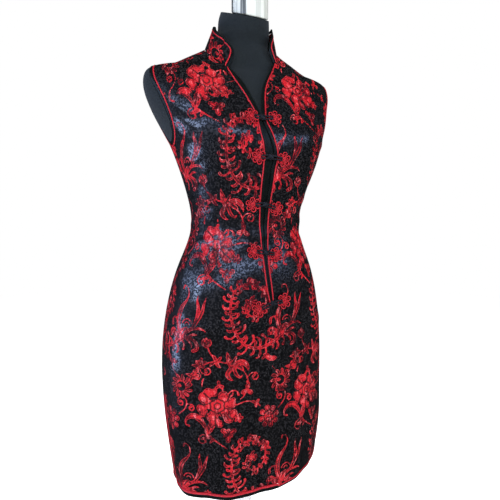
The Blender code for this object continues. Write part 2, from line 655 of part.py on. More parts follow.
# ---- the collar ---------------------------------------------------------
COLLAR_ANGLES = np.linspace(-7, 361, 2945)
COLLAR_BASE = surface(neckline(COLLAR_ANGLES))
COLLAR_RUN = np.concatenate([[0], np.cumsum(np.linalg.norm(
    np.diff(COLLAR_BASE, axis=0), axis=1))])
COLLAR_LEFT_END = np.interp(COLLAR_LEFT_ANGLE, COLLAR_ANGLES, COLLAR_RUN)
COLLAR_LENGTH = np.interp(COLLAR_RIGHT_ANGLE, COLLAR_ANGLES, COLLAR_RUN) - COLLAR_LEFT_END


def collar_frame(spot):
    """Seam point, upward direction and outward direction of the collar."""
    run = spot[..., 0] + COLLAR_LEFT_END
    base = np.stack([np.interp(run, COLLAR_RUN, COLLAR_BASE[:, k]) for k in range(3)], -1)
    inward = unit(np.stack([COLLAR_MIDDLE_X - base[..., 0], COLLAR_MIDDLE_Y - base[..., 1],
                            np.zeros_like(run)], -1))
    across = inward[..., :1]
    side_lean = np.where(across > 0, COLLAR_RIGHT_LEAN, COLLAR_LEFT_LEAN)
    lean = np.radians(COLLAR_FRONT_LEAN + (side_lean - COLLAR_FRONT_LEAN) * across ** 2)
    upright = np.array([0, 0, 1])
    return (base, inward * np.sin(lean) + upright * np.cos(lean),
            upright * np.sin(lean) - inward * np.cos(lean))


def collar_laid(spots, crown=None):
    """Grid on the collar's outer face; spots hold run along the seam and height."""
    base, rise, normal = collar_frame(spots)
    weight = np.zeros(spots.shape[:-1]) if crown is None else crown
    return np.concatenate([base + rise * spots[..., 1:2], normal, weight[..., None]], -1)


def collar():
    height = np.array([end.height for end in COLLAR_END]) + GAP
    forward = np.array([end.forward for end in COLLAR_END])
    left_end = np.stack([-forward, height], -1)
    right_end = np.stack([COLLAR_LENGTH + forward, height], -1)
    samples = 20
    run = np.linspace(left_end[-1, 0], right_end[-1, 0], samples + 2)[1:-1]
    top = np.stack([run, np.full(samples, height[-1])], -1)
    outline = np.concatenate([left_end, top, right_end[::-1]])

    def inside(distance):
        ahead = unit(np.gradient(outline, axis=0))
        turned = np.stack([ahead[:, 1], -ahead[:, 0]], -1)
        line = outline + turned * distance
        line[0, 1] = line[-1, 1] = GAP
        return line

    gap = 1.8 * GAP
    reach = (0.0, COLLAR_BINDING, COLLAR_BINDING + gap,
             COLLAR_BINDING + gap + PIPING_WIDTH, COLLAR_BINDING + 2 * gap + PIPING_WIDTH)
    edge, bind, pipe_in, pipe_out, cloth = [inside(r) for r in reach]
    for name, first, second, paint, crown in (
            ("collar_binding", edge, bind, "black_satin", 0.0),
            ("collar_piping", pipe_in, pipe_out, "red_piping", PIPING_CROWN)):
        spots = np.stack([first, (first + second) / 2, second])
        weight = np.zeros(spots.shape[:-1])
        weight[1] = 1
        if not crown:
            spots, weight = spots[::2], weight[::2]
        wall(name, [collar_laid(spots, weight)], COLLAR_CLOTH, paint, crown)
    ends = len(left_end)
    left, right = cloth[:ends], cloth[-ends:][::-1]
    upper = cloth[ends - 1:len(cloth) - ends + 1]
    lower_run = np.linspace(left[0, 0], right[0, 0], len(upper))
    lower = np.stack([lower_run, np.full(len(upper), GAP)], -1)
    wall("collar", [collar_laid(coons(lower, upper, left, right))], COLLAR_CLOTH, "brocade")


# ---- frog buttons -------------------------------------------------------
FROG_LIFT = PIPING_CROWN + 0.0004
CORD_RADIUS = 0.0016
KNOT_RADIUS = 0.0050
PETALS = 6
PETAL_SAMPLES = 12


def flower(name, x, rise, radius):
    """Coiled cord flower: a petalled cushion with a sunk eye."""
    centre = place_at_x(x, rise)[0]
    turns = np.linspace(0, 2 * np.pi, PETAL_SAMPLES, endpoint=False)
    outline = radius * (0.92 + 0.10 * np.cos(PETALS * turns))
    rings = ((1.0, 0.0), (1.0, 0.0014), (0.78, 0.0032), (0.36, 0.0026))
    points = []
    for share, height in rings:
        places = moved(np.repeat(centre[None], PETAL_SAMPLES, 0), share * outline * np.cos(turns),
                       share * outline * np.sin(turns))
        points.extend(lifted(places, FROG_LIFT + height))
    points.append(lifted(centre[None], FROG_LIFT)[0])
    points.append(lifted(centre[None], FROG_LIFT + 0.0018)[0])
    faces = []
    n = PETAL_SAMPLES
    for s in range(n):
        after = (s + 1) % n
        faces.append([4 * n, after, s])
        for r in range(3):
            faces.append([r * n + s, r * n + after, (r + 1) * n + after, (r + 1) * n + s])
        faces.append([3 * n + s, 3 * n + after, 4 * n + 1])
    return body(name, points, faces, "red_cord")


def knot(name, frog):
    """Ball knot in its loop, between the two flowers."""
    stops = []
    for x, rise in ((frog.right_x, frog.right_rise), (frog.left_x, frog.left_rise)):
        gap = np.array([frog.x - x, frog.rise - rise])
        reach = frog.radius * 1.02 + GAP + 0.0004
        share = reach / np.linalg.norm(gap)
        stops.append((x + gap[0] * share, rise + gap[1] * share))
    (start_x, start_rise), (end_x, end_rise) = stops
    thick = np.array([CORD_RADIUS, CORD_RADIUS, 0.55 * KNOT_RADIUS, 0.88 * KNOT_RADIUS,
                      KNOT_RADIUS])
    left = np.hypot(frog.x - start_x, frog.rise - start_rise)
    right = np.hypot(end_x - frog.x, end_rise - frog.rise)
    offsets = np.array([1.0, 0.55, 0.92 * KNOT_RADIUS, 0.62 * KNOT_RADIUS, 0.0])
    stations = []
    for k in range(5):
        back = left * offsets[k] if k < 2 else min(offsets[k], left * 0.5)
        stations.append((frog.x + (start_x - frog.x) * back / left,
                         frog.rise + (start_rise - frog.rise) * back / left, thick[k]))
    for k in (3, 2, 1, 0):
        ahead = right * offsets[k] if k < 2 else min(offsets[k], right * 0.5)
        stations.append((frog.x + (end_x - frog.x) * ahead / right,
                         frog.rise + (end_rise - frog.rise) * ahead / right, thick[k]))
    stations = np.array(stations)
    places = place_at_x(stations[:, 0], stations[:, 1])
    up_face = outward(places)
    centres = lifted(places, 0) + up_face * (FROG_LIFT + stations[:, 2:3])
    ahead = unit(np.gradient(centres, axis=0))
    across = unit(np.cross(up_face, ahead))
    points, faces = [], []
    sides = 6
    for k in range(len(stations)):
        for s in range(sides):
            turn = 2 * np.pi * s / sides
            points.append(centres[k] + stations[k, 2] * (across[k] * np.cos(turn)
                                                         + up_face[k] * np.sin(turn)))
    for k in range(len(stations) - 1):
        for s in range(sides):
            a, b = k * sides + s, k * sides + (s + 1) % sides
            faces.append([a, b, b + sides, a + sides])
    faces.append(list(range(sides))[::-1])
    faces.append(list(range(len(points) - sides, len(points))))
    return body(name, points, faces, "black_cord")


# ---- the dress form and its stand ---------------------------------------
def slanted(y):
    """Height of the neck's sloping top at a distance from front to back."""
    return HEM_HEIGHT + NECK_FRONT_RISE + NECK_SLANT * (y - NECK_FRONT_Y)


def form_torso():
    segments = 30
    angles = np.linspace(0, 2 * np.pi, segments + 1)
    rings = []
    low = np.linspace(girth_at(FORM_BOTTOM), girth_at(SLASH_FOOT), 5)[:-1]
    middle = girth_at(OPENING_RISES[OPENING_RISES < FORM_MIDDLE_TOP])
    high = np.linspace(middle[-1], girth_at(FORM_NECK_RISE), 13)[1:]
    for girth in np.concatenate([low, middle, high]):
        places = np.stack([angles, np.full(segments + 1, girth)], -1)
        rise = column("rise", girth)
        fade = np.clip((rise - FORM_FADE_RISE) / (FORM_NECK_RISE - FORM_FADE_RISE), 0, 1)
        share = np.clip((rise - FORM_EASE_RISE) / FORM_EASE_LENGTH, 0, 1)
        depth = FORM_CLEARANCE + (SHOULDER_CLEARANCE - FORM_CLEARANCE) * share
        rings.append(lifted(places, -depth * (1 - fade)))
    for share in (0.34, 0.67, 1.0):
        girth = girth_at(FORM_NECK_RISE + share * FORM_NECK_HEIGHT)
        ring = surface(np.stack([angles, np.full(segments + 1, girth)], -1))
        slant = slanted(ring[:, 1])
        ring[:, 2] = (1 - share) * (HEM_HEIGHT + FORM_NECK_RISE) + share * slant
        rings.append(ring)
    grid = np.array(rings)
    grid[0, :, 2] = HEM_HEIGHT + FORM_BOTTOM
    flat = np.concatenate([grid, np.zeros(grid.shape[:2] + (4,))], -1)
    points, faces = skin([flat])
    count = len(points)
    faces = list(faces)
    faces.append(list(range(segments))[::-1])
    faces.append(list(range(count - segments, count)))
    return body("form_torso", points[:, :3], faces, "form_jersey")


def arm_caps():
    """Smooth caps that fill the armholes of the form."""
    for name, side, hole in (("right", -1, right_hole), ("left", 1, left_hole)):
        inner = loop_sideways(hole[0], -side * GAP)
        front = inner[:ARMHOLE_SAMPLES]
        back = inner[ARMHOLE_SAMPLES - 1:][::-1]
        share = np.linspace(0, 1, 7)[None, :, None]
        places = front[:, None] * (1 - share) + back[:, None] * share
        wall("arm_cap_" + name, [laid(places)], CAP_THICKNESS, "form_jersey")


def neck_block_and_stand():
    seat, top = slanted(NECK_BLOCK_Y), HEM_HEIGHT + NECK_BLOCK_TOP
    r, bevel = NECK_BLOCK_RADIUS, NECK_BLOCK_BEVEL
    block = lathe("neck_block", ((r, seat + GAP), (r, top - bevel),
                                 (r - 0.3 * bevel, top - 0.3 * bevel), (r - bevel, top)),
                  (NECK_BLOCK_X, NECK_BLOCK_Y, 0), (0, 0, 1), "neck_block", 28)
    for point in block.data.vertices:
        if point.co.z < top - 1.5 * bevel:
            point.co.z += NECK_SLANT * (point.co.y - NECK_BLOCK_Y)
    under = HEM_HEIGHT + FORM_BOTTOM - GAP
    lathe("pole", ((POLE_RADIUS, FOOT_THICKNESS + GAP), (POLE_RADIUS, under)),
          (0, 0, 0), (0, 0, 1), "stand_metal", 20)
    lathe("foot", ((FOOT_RADIUS, 0), (FOOT_RADIUS, FOOT_THICKNESS - FOOT_CHAMFER),
                   (FOOT_RADIUS - FOOT_CHAMFER, FOOT_THICKNESS)),
          (0, 0, 0), (0, 0, 1), "stand_metal", 56)


for old in list(bpy.data.objects):
    bpy.data.objects.remove(old, do_unlink=True)
front_panel()
back_panel()
trims()
underlap()
collar()
for frog in FROGS:
    flower("frog_flower_right_" + frog.name, frog.right_x, frog.right_rise, frog.radius)
    flower("frog_flower_left_" + frog.name, frog.left_x, frog.left_rise, frog.radius)
    knot("frog_knot_" + frog.name, frog)
form_torso()
arm_caps()
neck_block_and_stand()
triangles = 0
for made in bpy.data.objects:
    one = sum(len(face.vertices) - 2 for face in made.data.polygons)
    print(made.name, one)
    triangles += one
print("triangles in all", triangles)
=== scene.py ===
"""A black and red brocade cheongsam on a limbless dress form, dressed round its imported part.

Metres, +Z up.  The wearer's left is +X and the front faces -Y.
"""

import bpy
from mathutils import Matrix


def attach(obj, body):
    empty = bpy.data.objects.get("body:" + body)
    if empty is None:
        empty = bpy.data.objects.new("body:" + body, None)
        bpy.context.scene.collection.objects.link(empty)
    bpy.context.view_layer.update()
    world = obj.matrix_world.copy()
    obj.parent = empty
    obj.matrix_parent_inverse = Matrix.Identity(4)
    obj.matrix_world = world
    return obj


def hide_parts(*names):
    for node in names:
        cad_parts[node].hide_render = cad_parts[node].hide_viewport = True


# %% [markdown]
# # A brocade cheongsam on its form
# The real thing is a fitted, sleeveless satin dress: a front and a back panel, a stand
# collar, black bias bindings with a red piping inside them, and five frog buttons.  The
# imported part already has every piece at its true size, so this lesson rebuilds the pieces
# more finely on the same forms and gives every surface its finish.

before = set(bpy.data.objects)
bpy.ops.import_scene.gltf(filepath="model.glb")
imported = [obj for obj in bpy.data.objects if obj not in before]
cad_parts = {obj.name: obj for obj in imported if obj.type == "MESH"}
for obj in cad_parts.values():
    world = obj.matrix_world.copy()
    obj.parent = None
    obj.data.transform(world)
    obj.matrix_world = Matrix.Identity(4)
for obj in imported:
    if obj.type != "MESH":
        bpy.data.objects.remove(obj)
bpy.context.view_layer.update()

from collections import namedtuple

import bpy
import numpy as np
from mathutils import Vector

print("nodes in the part:", len(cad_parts))

# %% [markdown]
# ## Node maths that reads like maths
# A finish is a graph of nodes.  Wrapping a socket in a small class lets a line such as
# `0.3 + 0.2 * grain` add the Math nodes by itself, so a material stays readable.

# %% Sockets as values
class Value:
    """A number, colour or vector that varies over a surface."""

    def __init__(self, finish, socket):
        self.finish, self.socket = finish, socket

    def math(self, operation, first, second):
        return self.finish.node("ShaderNodeMath", {0: first, 1: second}, operation=operation)

    def __add__(self, other):
        return self.math("ADD", self, other)

    def __sub__(self, other):
        return self.math("SUBTRACT", self, other)

    def __rsub__(self, other):
        return self.math("SUBTRACT", other, self)

    def __mul__(self, other):
        return self.math("MULTIPLY", self, other)

    __radd__ = __add__
    __rmul__ = __mul__


class Finish:
    """One material, built node by node round its Principled shader."""

    def __init__(self, name, **constants):
        self.material = bpy.data.materials.new(name)
        self.material.use_nodes = True
        self.tree = self.material.node_tree
        self.shader = self.tree.nodes["Principled BSDF"]
        for socket, value in constants.items():
            self.shader.inputs[socket.replace("_", " ")].default_value = value

    def node(self, kind, sockets, out=0, **settings):
        made = self.tree.nodes.new(kind)
        for key, value in settings.items():
            setattr(made, key, value)
        for key, value in sockets.items():
            if isinstance(value, Value):
                self.tree.links.new(value.socket, made.inputs[key])
            else:
                made.inputs[key].default_value = value
        return Value(self, made.outputs[out])

    def feed(self, **values):
        for socket, value in values.items():
            self.tree.links.new(value.socket, self.shader.inputs[socket.replace("_", " ")])
        return self.material

    def place(self, stretch=(1, 1, 1)):
        """Object coordinates, stretched."""
        coordinates = self.node("ShaderNodeTexCoord", {}, out="Object")
        return self.node("ShaderNodeVectorMath", {0: coordinates, 1: stretch},
                         operation="MULTIPLY")

    def noise(self, scale, detail=2.0, stretch=(1, 1, 1)):
        return self.node("ShaderNodeTexNoise", {"Vector": self.place(stretch), "Scale": scale,
                                                "Detail": detail})

    def smooth(self, value, low, high, start=0.0, end=1.0):
        return self.node("ShaderNodeMapRange", {"Value": value, "From Min": low,
                                                "From Max": high, "To Min": start,
                                                "To Max": end},
                         interpolation_type="SMOOTHSTEP")

    def attribute(self, name):
        return self.node("ShaderNodeAttribute", {}, out="Fac", attribute_name=name)

    def mix(self, share, first, second):
        return self.node("ShaderNodeMix", {"Factor": share, 6: rgba(first), 7: rgba(second)},
                         out=2, data_type="RGBA")

    def bump(self, height, distance, strength, under=None):
        sockets = {"Height": height, "Distance": distance, "Strength": strength}
        if under is not None:
            sockets["Normal"] = under
        return self.node("ShaderNodeBump", sockets)


def rgba(colour):
    return colour if isinstance(colour, Value) else (*colour, 1.0)


print("ready: Value and Finish")

# %% [markdown]
# ## Camera, floor and light
# The view is from a little to the wearer's right, level with the hips.  Satin shows its
# lights as soft patches.  So four broad white fills, which the cloth doesn't mirror, give it
# its colour.  Two blue boxes at the wearer's right, one low and one high, and a curved blue
# band round the camera's side are there to be mirrored, on the near side and on the bust, the
# waist and the hip.

# %% Camera
scene = bpy.context.scene
FOCAL_PIXELS, FRAME_PIXELS = 427.5, 500
EYE = (-0.3581, -0.7930, 1.0380)
YAW, PITCH = np.radians(25.0), np.radians(3.79)
AHEAD = Vector((np.sin(YAW) * np.cos(PITCH), np.cos(YAW) * np.cos(PITCH), -np.sin(PITCH)))
eye = bpy.data.cameras.new("eye")
eye.sensor_width = 36.0
eye.lens = eye.sensor_width * FOCAL_PIXELS / FRAME_PIXELS
eye.clip_start = 0.05
camera = bpy.data.objects.new("eye", eye)
scene.collection.objects.link(camera)
camera.location = EYE
camera.rotation_euler = AHEAD.to_track_quat("-Z", "Y").to_euler()
scene.camera = camera
scene.view_settings.view_transform = "Standard"
print("lens", round(eye.lens, 2), "mm")

# %% Lamps and sky
COOL = (0.46, 0.60, 1.0)
SKY, SKY_STRENGTH = (0.80, 0.86, 1.0, 1), 0.05
Lamp = namedtuple("Lamp", "name at aim width height watts colour shines")
LAMPS = (
    Lamp("front_fill", (-1.1, -2.1, 1.75), (0, 0, 1.0), 2.4, 2.0, 54, (1.0, 0.985, 0.97), False),
    Lamp("far_fill", (1.7, -1.6, 1.4), (0, 0, 1.0), 1.6, 1.6, 20, (0.98, 0.99, 1.0), False),
    Lamp("top_fill", (0.1, -0.2, 2.9), (0, 0, 1.2), 1.6, 1.6, 22, (1.0, 0.98, 0.96), False),
    Lamp("back_fill", (0.9, 2.2, 1.6), (0, 0, 1.0), 1.8, 1.4, 34, (0.95, 0.97, 1.0), False),
    Lamp("low_box", (-2.0, 0.35, 0.62), (0, 0, 0.95), 0.9, 0.9, 17, COOL, True),
    Lamp("side_box", (-2.1, -0.65, 1.5), (0, 0, 1.1), 0.35, 0.9, 10, (0.50, 0.64, 1.0), True),
)
for lamp in LAMPS:
    box = bpy.data.lights.new(lamp.name, "AREA")
    box.shape, box.size, box.size_y = "RECTANGLE", lamp.width, lamp.height
    box.energy, box.color = lamp.watts, lamp.colour
    stand = bpy.data.objects.new(lamp.name, box)
    scene.collection.objects.link(stand)
    stand.location = lamp.at
    stand.visible_glossy = lamp.shines
    turn = Vector(lamp.aim) - Vector(lamp.at)
    stand.rotation_euler = turn.to_track_quat("-Z", "Y").to_euler()

sky = bpy.data.worlds.new("sky")
sky.use_nodes = True
sky.node_tree.nodes["Background"].inputs[0].default_value = SKY
sky.node_tree.nodes["Background"].inputs[1].default_value = SKY_STRENGTH
scene.world = sky
print("lights:", len(LAMPS))

# %% Floor, backdrop and light band
ROOM_RADIUS, ROOM_HEIGHT, FLOOR_DROP = 6.0, 8.0, 0.0004
BAND_RADIUS, BAND_LOW, BAND_HIGH = 2.6, 1.46, 2.16


def lathed(name, profile, segments, start=0.0, sweep=360.0):
    """Stage piece turned round the upright axis; profile rows are radius, height."""
    turns = np.radians(start + np.linspace(0, sweep, segments + 1))
    points = [(r * np.cos(t), r * np.sin(t), z) for r, z in profile for t in turns]
    wide = segments + 1
    faces = [(row * wide + k, row * wide + k + 1, (row + 1) * wide + k + 1, (row + 1) * wide + k)
             for row in range(len(profile) - 1) for k in range(segments)]
    mesh = bpy.data.meshes.new(name)
    mesh.from_pydata(points, [], faces)
    mesh.shade_smooth()
    made = bpy.data.objects.new(name, mesh)
    scene.collection.objects.link(made)
    return made


floor = lathed("floor", ((0.001, -FLOOR_DROP), (ROOM_RADIUS / 2, -FLOOR_DROP),
                         (ROOM_RADIUS, -FLOOR_DROP)), 64)
floor.visible_glossy = False
floor_paint = Finish("floor_paint", Roughness=0.8, Emission_Strength=0.98)
floor_shade = floor_paint.mix(floor_paint.noise(1.5), (0.96, 0.96, 0.96), (0.98, 0.98, 0.98))
floor.data.materials.append(floor_paint.feed(Base_Color=floor_shade,
                                             Emission_Color=floor_shade))
backdrop = lathed("backdrop", ((ROOM_RADIUS - 0.1, 0.0), (ROOM_RADIUS, ROOM_HEIGHT),
                               (0.001, ROOM_HEIGHT)), 64)
backdrop_paint = Finish("backdrop_paint", Base_Color=(0, 0, 0, 1), Roughness=1.0,
                        Emission_Color=(1, 1, 1, 1), Emission_Strength=1.0)
backdrop.data.materials.append(backdrop_paint.material)
backdrop.visible_diffuse = backdrop.visible_glossy = backdrop.visible_shadow = False
band = lathed("light_band", ((BAND_RADIUS, BAND_LOW), (BAND_RADIUS, BAND_HIGH)), 48,
              start=140.0, sweep=190.0)
band.visible_camera = band.visible_diffuse = band.visible_shadow = False
band_paint = Finish("band_paint", Base_Color=(0, 0, 0, 1), Roughness=1.0,
                    Emission_Color=(*COOL, 1), Emission_Strength=4.0)
band.data.materials.append(band_paint.material)
print("band from", BAND_LOW, "to", BAND_HIGH, "m high")

# %% [markdown]
# ## The body under the cloth
# Every piece of the dress lies on one smooth surface, a stack of rounded sections from hem
# to neck.  A place on it is an angle round the body, 0 at centre front, and a girth number
# that climbs the side.  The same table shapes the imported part, so all pieces fit it.

# %% Driving sizes
HEM_HEIGHT = 0.525
CLOTH, COLLAR_CLOTH, UNDERLAP_CLOTH, GAP = 0.0016, 0.0024, 0.0012, 0.0003
PIPING_WIDTH, HEM_BINDING, ARMHOLE_BINDING, COLLAR_BINDING = 0.0022, 0.0034, 0.0068, 0.0048
NECK_SEAM_GAP = 0.0012
SLIT_TOP, SLIT_GAPE, SLIT_MITRE = 0.190, 0.0030, 0.0160
FRONT_CORNER_RIGHT, FRONT_CORNER_LEFT, BACK_CORNER = 0.008, 0.060, 0.020
HEM_LIFT, HEM_LIFT_FROM, HEM_LIFT_TO = 0.0135, 8, 42
ARMHOLE_LOW, ARMHOLE_TOP, ARMHOLE_FRONT_CUT, ARMHOLE_BACK_CUT = 0.662, 0.180, 21.5, 16.0
SHOULDER_RISE, UNDERARM_DROP = 0.772, 0.016
SLASH_FOOT, OPENING_TOP, LEFT_TOP_STEP = 0.360, 0.788, 0.0225
FORM_BOTTOM = 0.245
SHOULDER_TILT, TILT_FROM, TILT_LENGTH = 0.030, 0.64, 0.16
BUST_X, BUST_RISE, BUST_OUT = 0.082, 0.664, 0.011
BUST_SPREAD_X, BUST_SPREAD_RISE = 0.040, 0.046
print("hem", HEM_HEIGHT, "m above the floor, cloth", CLOTH * 1000, "mm thick")

# %% Tables of sections and edges
Section = namedtuple("Section", "rise half_width front back squareness shift")
Edge = namedtuple("Edge", "rise edge_x piping_x")
Neck = namedtuple("Neck", "angle rise")


def table(kind, *rows):
    return [kind(*row) for row in rows]


SECTIONS = table(
    Section,
    (0.0000, 0.1470, 0.0985, 0.0985, 2.25, 0.0000), (0.0900, 0.1612, 0.1035, 0.1090, 2.25, 0.0012),
    (0.1900, 0.1680, 0.1010, 0.1185, 2.25, -0.0008),
    (0.2800, 0.1660, 0.1035, 0.1215, 2.25, -0.0015),
    (0.3600, 0.1545, 0.1065, 0.1135, 2.25, -0.0010), (0.4300, 0.1355, 0.0985, 0.0985, 2.20, 0.0008),
    (0.5050, 0.1110, 0.0895, 0.0875, 2.15, 0.0020), (0.5600, 0.1185, 0.0980, 0.0870, 2.15, 0.0030),
    (0.6150, 0.1375, 0.1110, 0.0900, 2.20, 0.0050), (0.6680, 0.1570, 0.1145, 0.0940, 2.25, 0.0030),
    (0.7100, 0.1755, 0.1040, 0.0970, 2.25, -0.0015),
    (0.7450, 0.1885, 0.0900, 0.0950, 2.20, -0.0050),
    (0.7720, 0.1940, 0.0770, 0.0880, 2.15, -0.0055),
    (0.7900, 0.1895, 0.0680, 0.0800, 2.05, -0.0055),
    (0.8005, 0.1590, 0.0625, 0.0740, 2.00, -0.0060),
    (0.8190, 0.1150, 0.0590, 0.0710, 2.00, -0.0075),
    (0.8400, 0.0750, 0.0550, 0.0670, 2.00, -0.0090),
    (0.8620, 0.0548, 0.0525, 0.0535, 2.00, -0.0062),
    (0.8880, 0.0500, 0.0560, 0.0455, 2.00, -0.0036),
    (0.9020, 0.0494, 0.0572, 0.0430, 2.00, -0.0034),
    (0.9250, 0.0455, 0.0585, 0.0380, 2.00, -0.0010),
)
RIGHT_EDGE = table(
    Edge,
    (0.3600, 0.0068, 0.0055), (0.3850, 0.0033, -0.0002), (0.4200, 0.0005, -0.0034),
    (0.4700, -0.0017, -0.0068), (0.5100, -0.0028, -0.0090), (0.5450, -0.0043, -0.0108),
    (0.5800, -0.0055, -0.0119), (0.6100, -0.0054, -0.0118), (0.6310, -0.0060, -0.0124),
    (0.6510, -0.0085, -0.0152), (0.6740, -0.0140, -0.0212), (0.6930, -0.0168, -0.0237),
    (0.7090, -0.0195, -0.0275), (0.7270, -0.0254, -0.0346), (0.7480, -0.0329, -0.0437),
    (0.7675, -0.0417, -0.0532), (0.7875, -0.0560, -0.0622), (0.8000, -0.0640, -0.0705),
)
LEFT_EDGE = table(
    Edge,
    (0.3600, 0.0072, 0.0085), (0.3850, 0.0038, 0.0072), (0.4200, 0.0010, 0.0042),
    (0.4700, -0.0010, 0.0042), (0.5100, -0.0006, 0.0056), (0.5450, 0.0008, 0.0071),
    (0.5800, 0.0030, 0.0094), (0.6100, 0.0042, 0.0107), (0.6310, 0.0060, 0.0128),
    (0.6510, 0.0010, 0.0078), (0.6740, -0.0075, -0.0008), (0.6900, -0.0138, -0.0078),
    (0.7010, -0.0140, -0.0084), (0.7160, -0.0120, -0.0066), (0.7490, -0.0049, 0.0006),
    (0.7720, 0.0067, 0.0118), (0.7930, 0.0212, 0.0262), (0.8120, 0.0330, 0.0382),
    (0.8250, 0.0405, 0.0460),
)
NECKLINE = table(
    Neck,
    (-8, 0.7860), (5, 0.7985), (17, 0.8095), (22, 0.8144), (31, 0.8250), (47, 0.8355),
    (66, 0.8402), (90, 0.8430), (130, 0.8470), (180, 0.8480), (230, 0.8470), (270, 0.8410),
    (281, 0.8372), (294, 0.8312), (308, 0.8230), (323.5, 0.8110), (333, 0.8030),
    (342, 0.7920), (352, 0.7800), (362, 0.7690),
)
print("sections:", len(SECTIONS))

# %% The surface and how to move on it
def spline(knots, values, at):
    """Natural cubic spline through short tables."""
    k, y = np.asarray(knots, float), np.asarray(values, float)
    h, n = np.diff(k), len(k)
    matrix, rhs = np.eye(n), np.zeros(n)
    for i in range(1, n - 1):
        matrix[i, i - 1:i + 2] = h[i - 1], 2 * (h[i - 1] + h[i]), h[i]
        rhs[i] = 6 * ((y[i + 1] - y[i]) / h[i] - (y[i] - y[i - 1]) / h[i - 1])
    m = np.linalg.solve(matrix, rhs)
    x = np.asarray(at, float)
    i = np.clip(np.searchsorted(k, x) - 1, 0, n - 2)
    a, b = (k[i + 1] - x) / h[i], (x - k[i]) / h[i]
    bend = ((a ** 3 - a) * m[i] + (b ** 3 - b) * m[i + 1]) * h[i] ** 2 / 6
    return a * y[i] + b * y[i + 1] + bend


RISES = np.array([s.rise for s in SECTIONS])
GIRTHS = np.concatenate([[0], np.cumsum(np.hypot(
    np.diff(RISES), np.diff([s.half_width for s in SECTIONS])))])
FINE_GIRTH = np.linspace(0, GIRTHS[-1], 6000)
COLUMNS = {name: spline(GIRTHS, [getattr(s, name) for s in SECTIONS], FINE_GIRTH)
           for name in Section._fields}


def column(name, girth):
    return np.interp(girth, FINE_GIRTH, COLUMNS[name])


def girth_at(rise):
    return np.interp(rise, COLUMNS["rise"], FINE_GIRTH)


def unit(v):
    return v / np.maximum(np.linalg.norm(v, axis=-1, keepdims=True), 1e-12)


def eased(share):
    """A share from 0 to 1 that starts and ends gently."""
    return share * share * (3 - 2 * share)


def travelled(points):
    """Distance along a chain of points, from its start to each of them."""
    return np.concatenate([[0], np.cumsum(np.linalg.norm(np.diff(points, axis=0), axis=1))])


def surface(place):
    """Point on the dress's smooth outer face; place[..., 0] angle, place[..., 1] girth."""
    angle, girth = place[..., 0], place[..., 1]
    s, c = np.sin(angle), np.cos(angle)
    n = column("squareness", girth)
    reach = (np.abs(s) ** n + np.abs(c) ** n) ** (-1 / n)
    depth = np.where(c > 0, column("front", girth), column("back", girth))
    x = column("half_width", girth) * s * reach + column("shift", girth)
    y = -depth * c * reach
    z = column("rise", girth)
    apart = ((np.abs(x) - BUST_X) / BUST_SPREAD_X) ** 2
    above = ((z - BUST_RISE) / BUST_SPREAD_RISE) ** 2
    y = y - np.where(c > 0, BUST_OUT, 0) * np.exp(-apart - above) * np.clip(c, 0, 1) ** 0.5
    z = z + SHOULDER_TILT * x * eased(np.clip((z - TILT_FROM) / TILT_LENGTH, 0, 1))
    return np.stack([x, y, z + HEM_HEIGHT], -1)


def slopes(place):
    """Directions in space of more angle and of more girth."""
    e = 4e-4
    return ((surface(place + [e, 0]) - surface(place - [e, 0])) / (2 * e),
            (surface(place + [0, e]) - surface(place - [0, e])) / (2 * e))


def outward(place):
    return unit(np.cross(*slopes(place)))


def stepped(place, step):
    """Places moved by a step in space that lies along the cloth."""
    along, climb = slopes(place)
    g11, g12, g22 = (along * along).sum(-1), (along * climb).sum(-1), (climb * climb).sum(-1)
    b1, b2 = (step * along).sum(-1), (step * climb).sum(-1)
    det = g11 * g22 - g12 ** 2
    return place + np.stack([(g22 * b1 - g12 * b2) / det, (g11 * b2 - g12 * b1) / det], -1)


def moved(place, right, up):
    """Places moved by metres to the right, seen from outside, and up over the cloth."""
    east = unit(slopes(place)[0])
    north = unit(np.cross(outward(place), east))
    return stepped(place, east * np.asarray(right)[..., None] + north * np.asarray(up)[..., None])


def sideways(line, distance):
    """Shift a line of places to the left of its direction of travel, over the cloth."""
    ahead = unit(np.gradient(surface(line), axis=0))
    side = unit(np.cross(outward(line), ahead))
    return stepped(line, side * np.asarray(distance)[..., None])


def place_at_x(x, rise):
    """Place on the front with a given sideways position and rise."""
    angles = np.radians(np.linspace(-60, 60, 241))
    girth = girth_at(np.atleast_1d(rise))
    rows = surface(np.stack(np.broadcast_arrays(angles[None], girth[:, None]), -1))
    turn = [np.interp(one, row[:, 0], angles) for one, row in zip(np.atleast_1d(x), rows)]
    return np.stack([turn, girth], -1)


print("girth from hem to neck top:", round(float(GIRTHS[-1]), 3), "m")

# %% [markdown]
# ## Creases and darts
# Satin on a form is almost smooth.  What shows is where it is worked: darts from waist to
# belly and from the side to the bust, drag lines that run to the waist, small pulls round
# the armholes and soft waves above the hem.  Each is a soft trough or ridge along a short
# line, uneven in depth and length, on the hidden sides too.

# %% Folds
Fold = namedtuple("Fold", "height width path")   # metres, metres, (degrees, rise) stops
WAIST_DART = ((47, 0.556), (47.4, 0.518), (46, 0.480), (40.4, 0.441), (39, 0.404))
BUST_DART = ((86, 0.560), (64, 0.580), (52, 0.597), (43, 0.613))


def mirrored(path):
    return tuple((-angle, rise) for angle, rise in path)


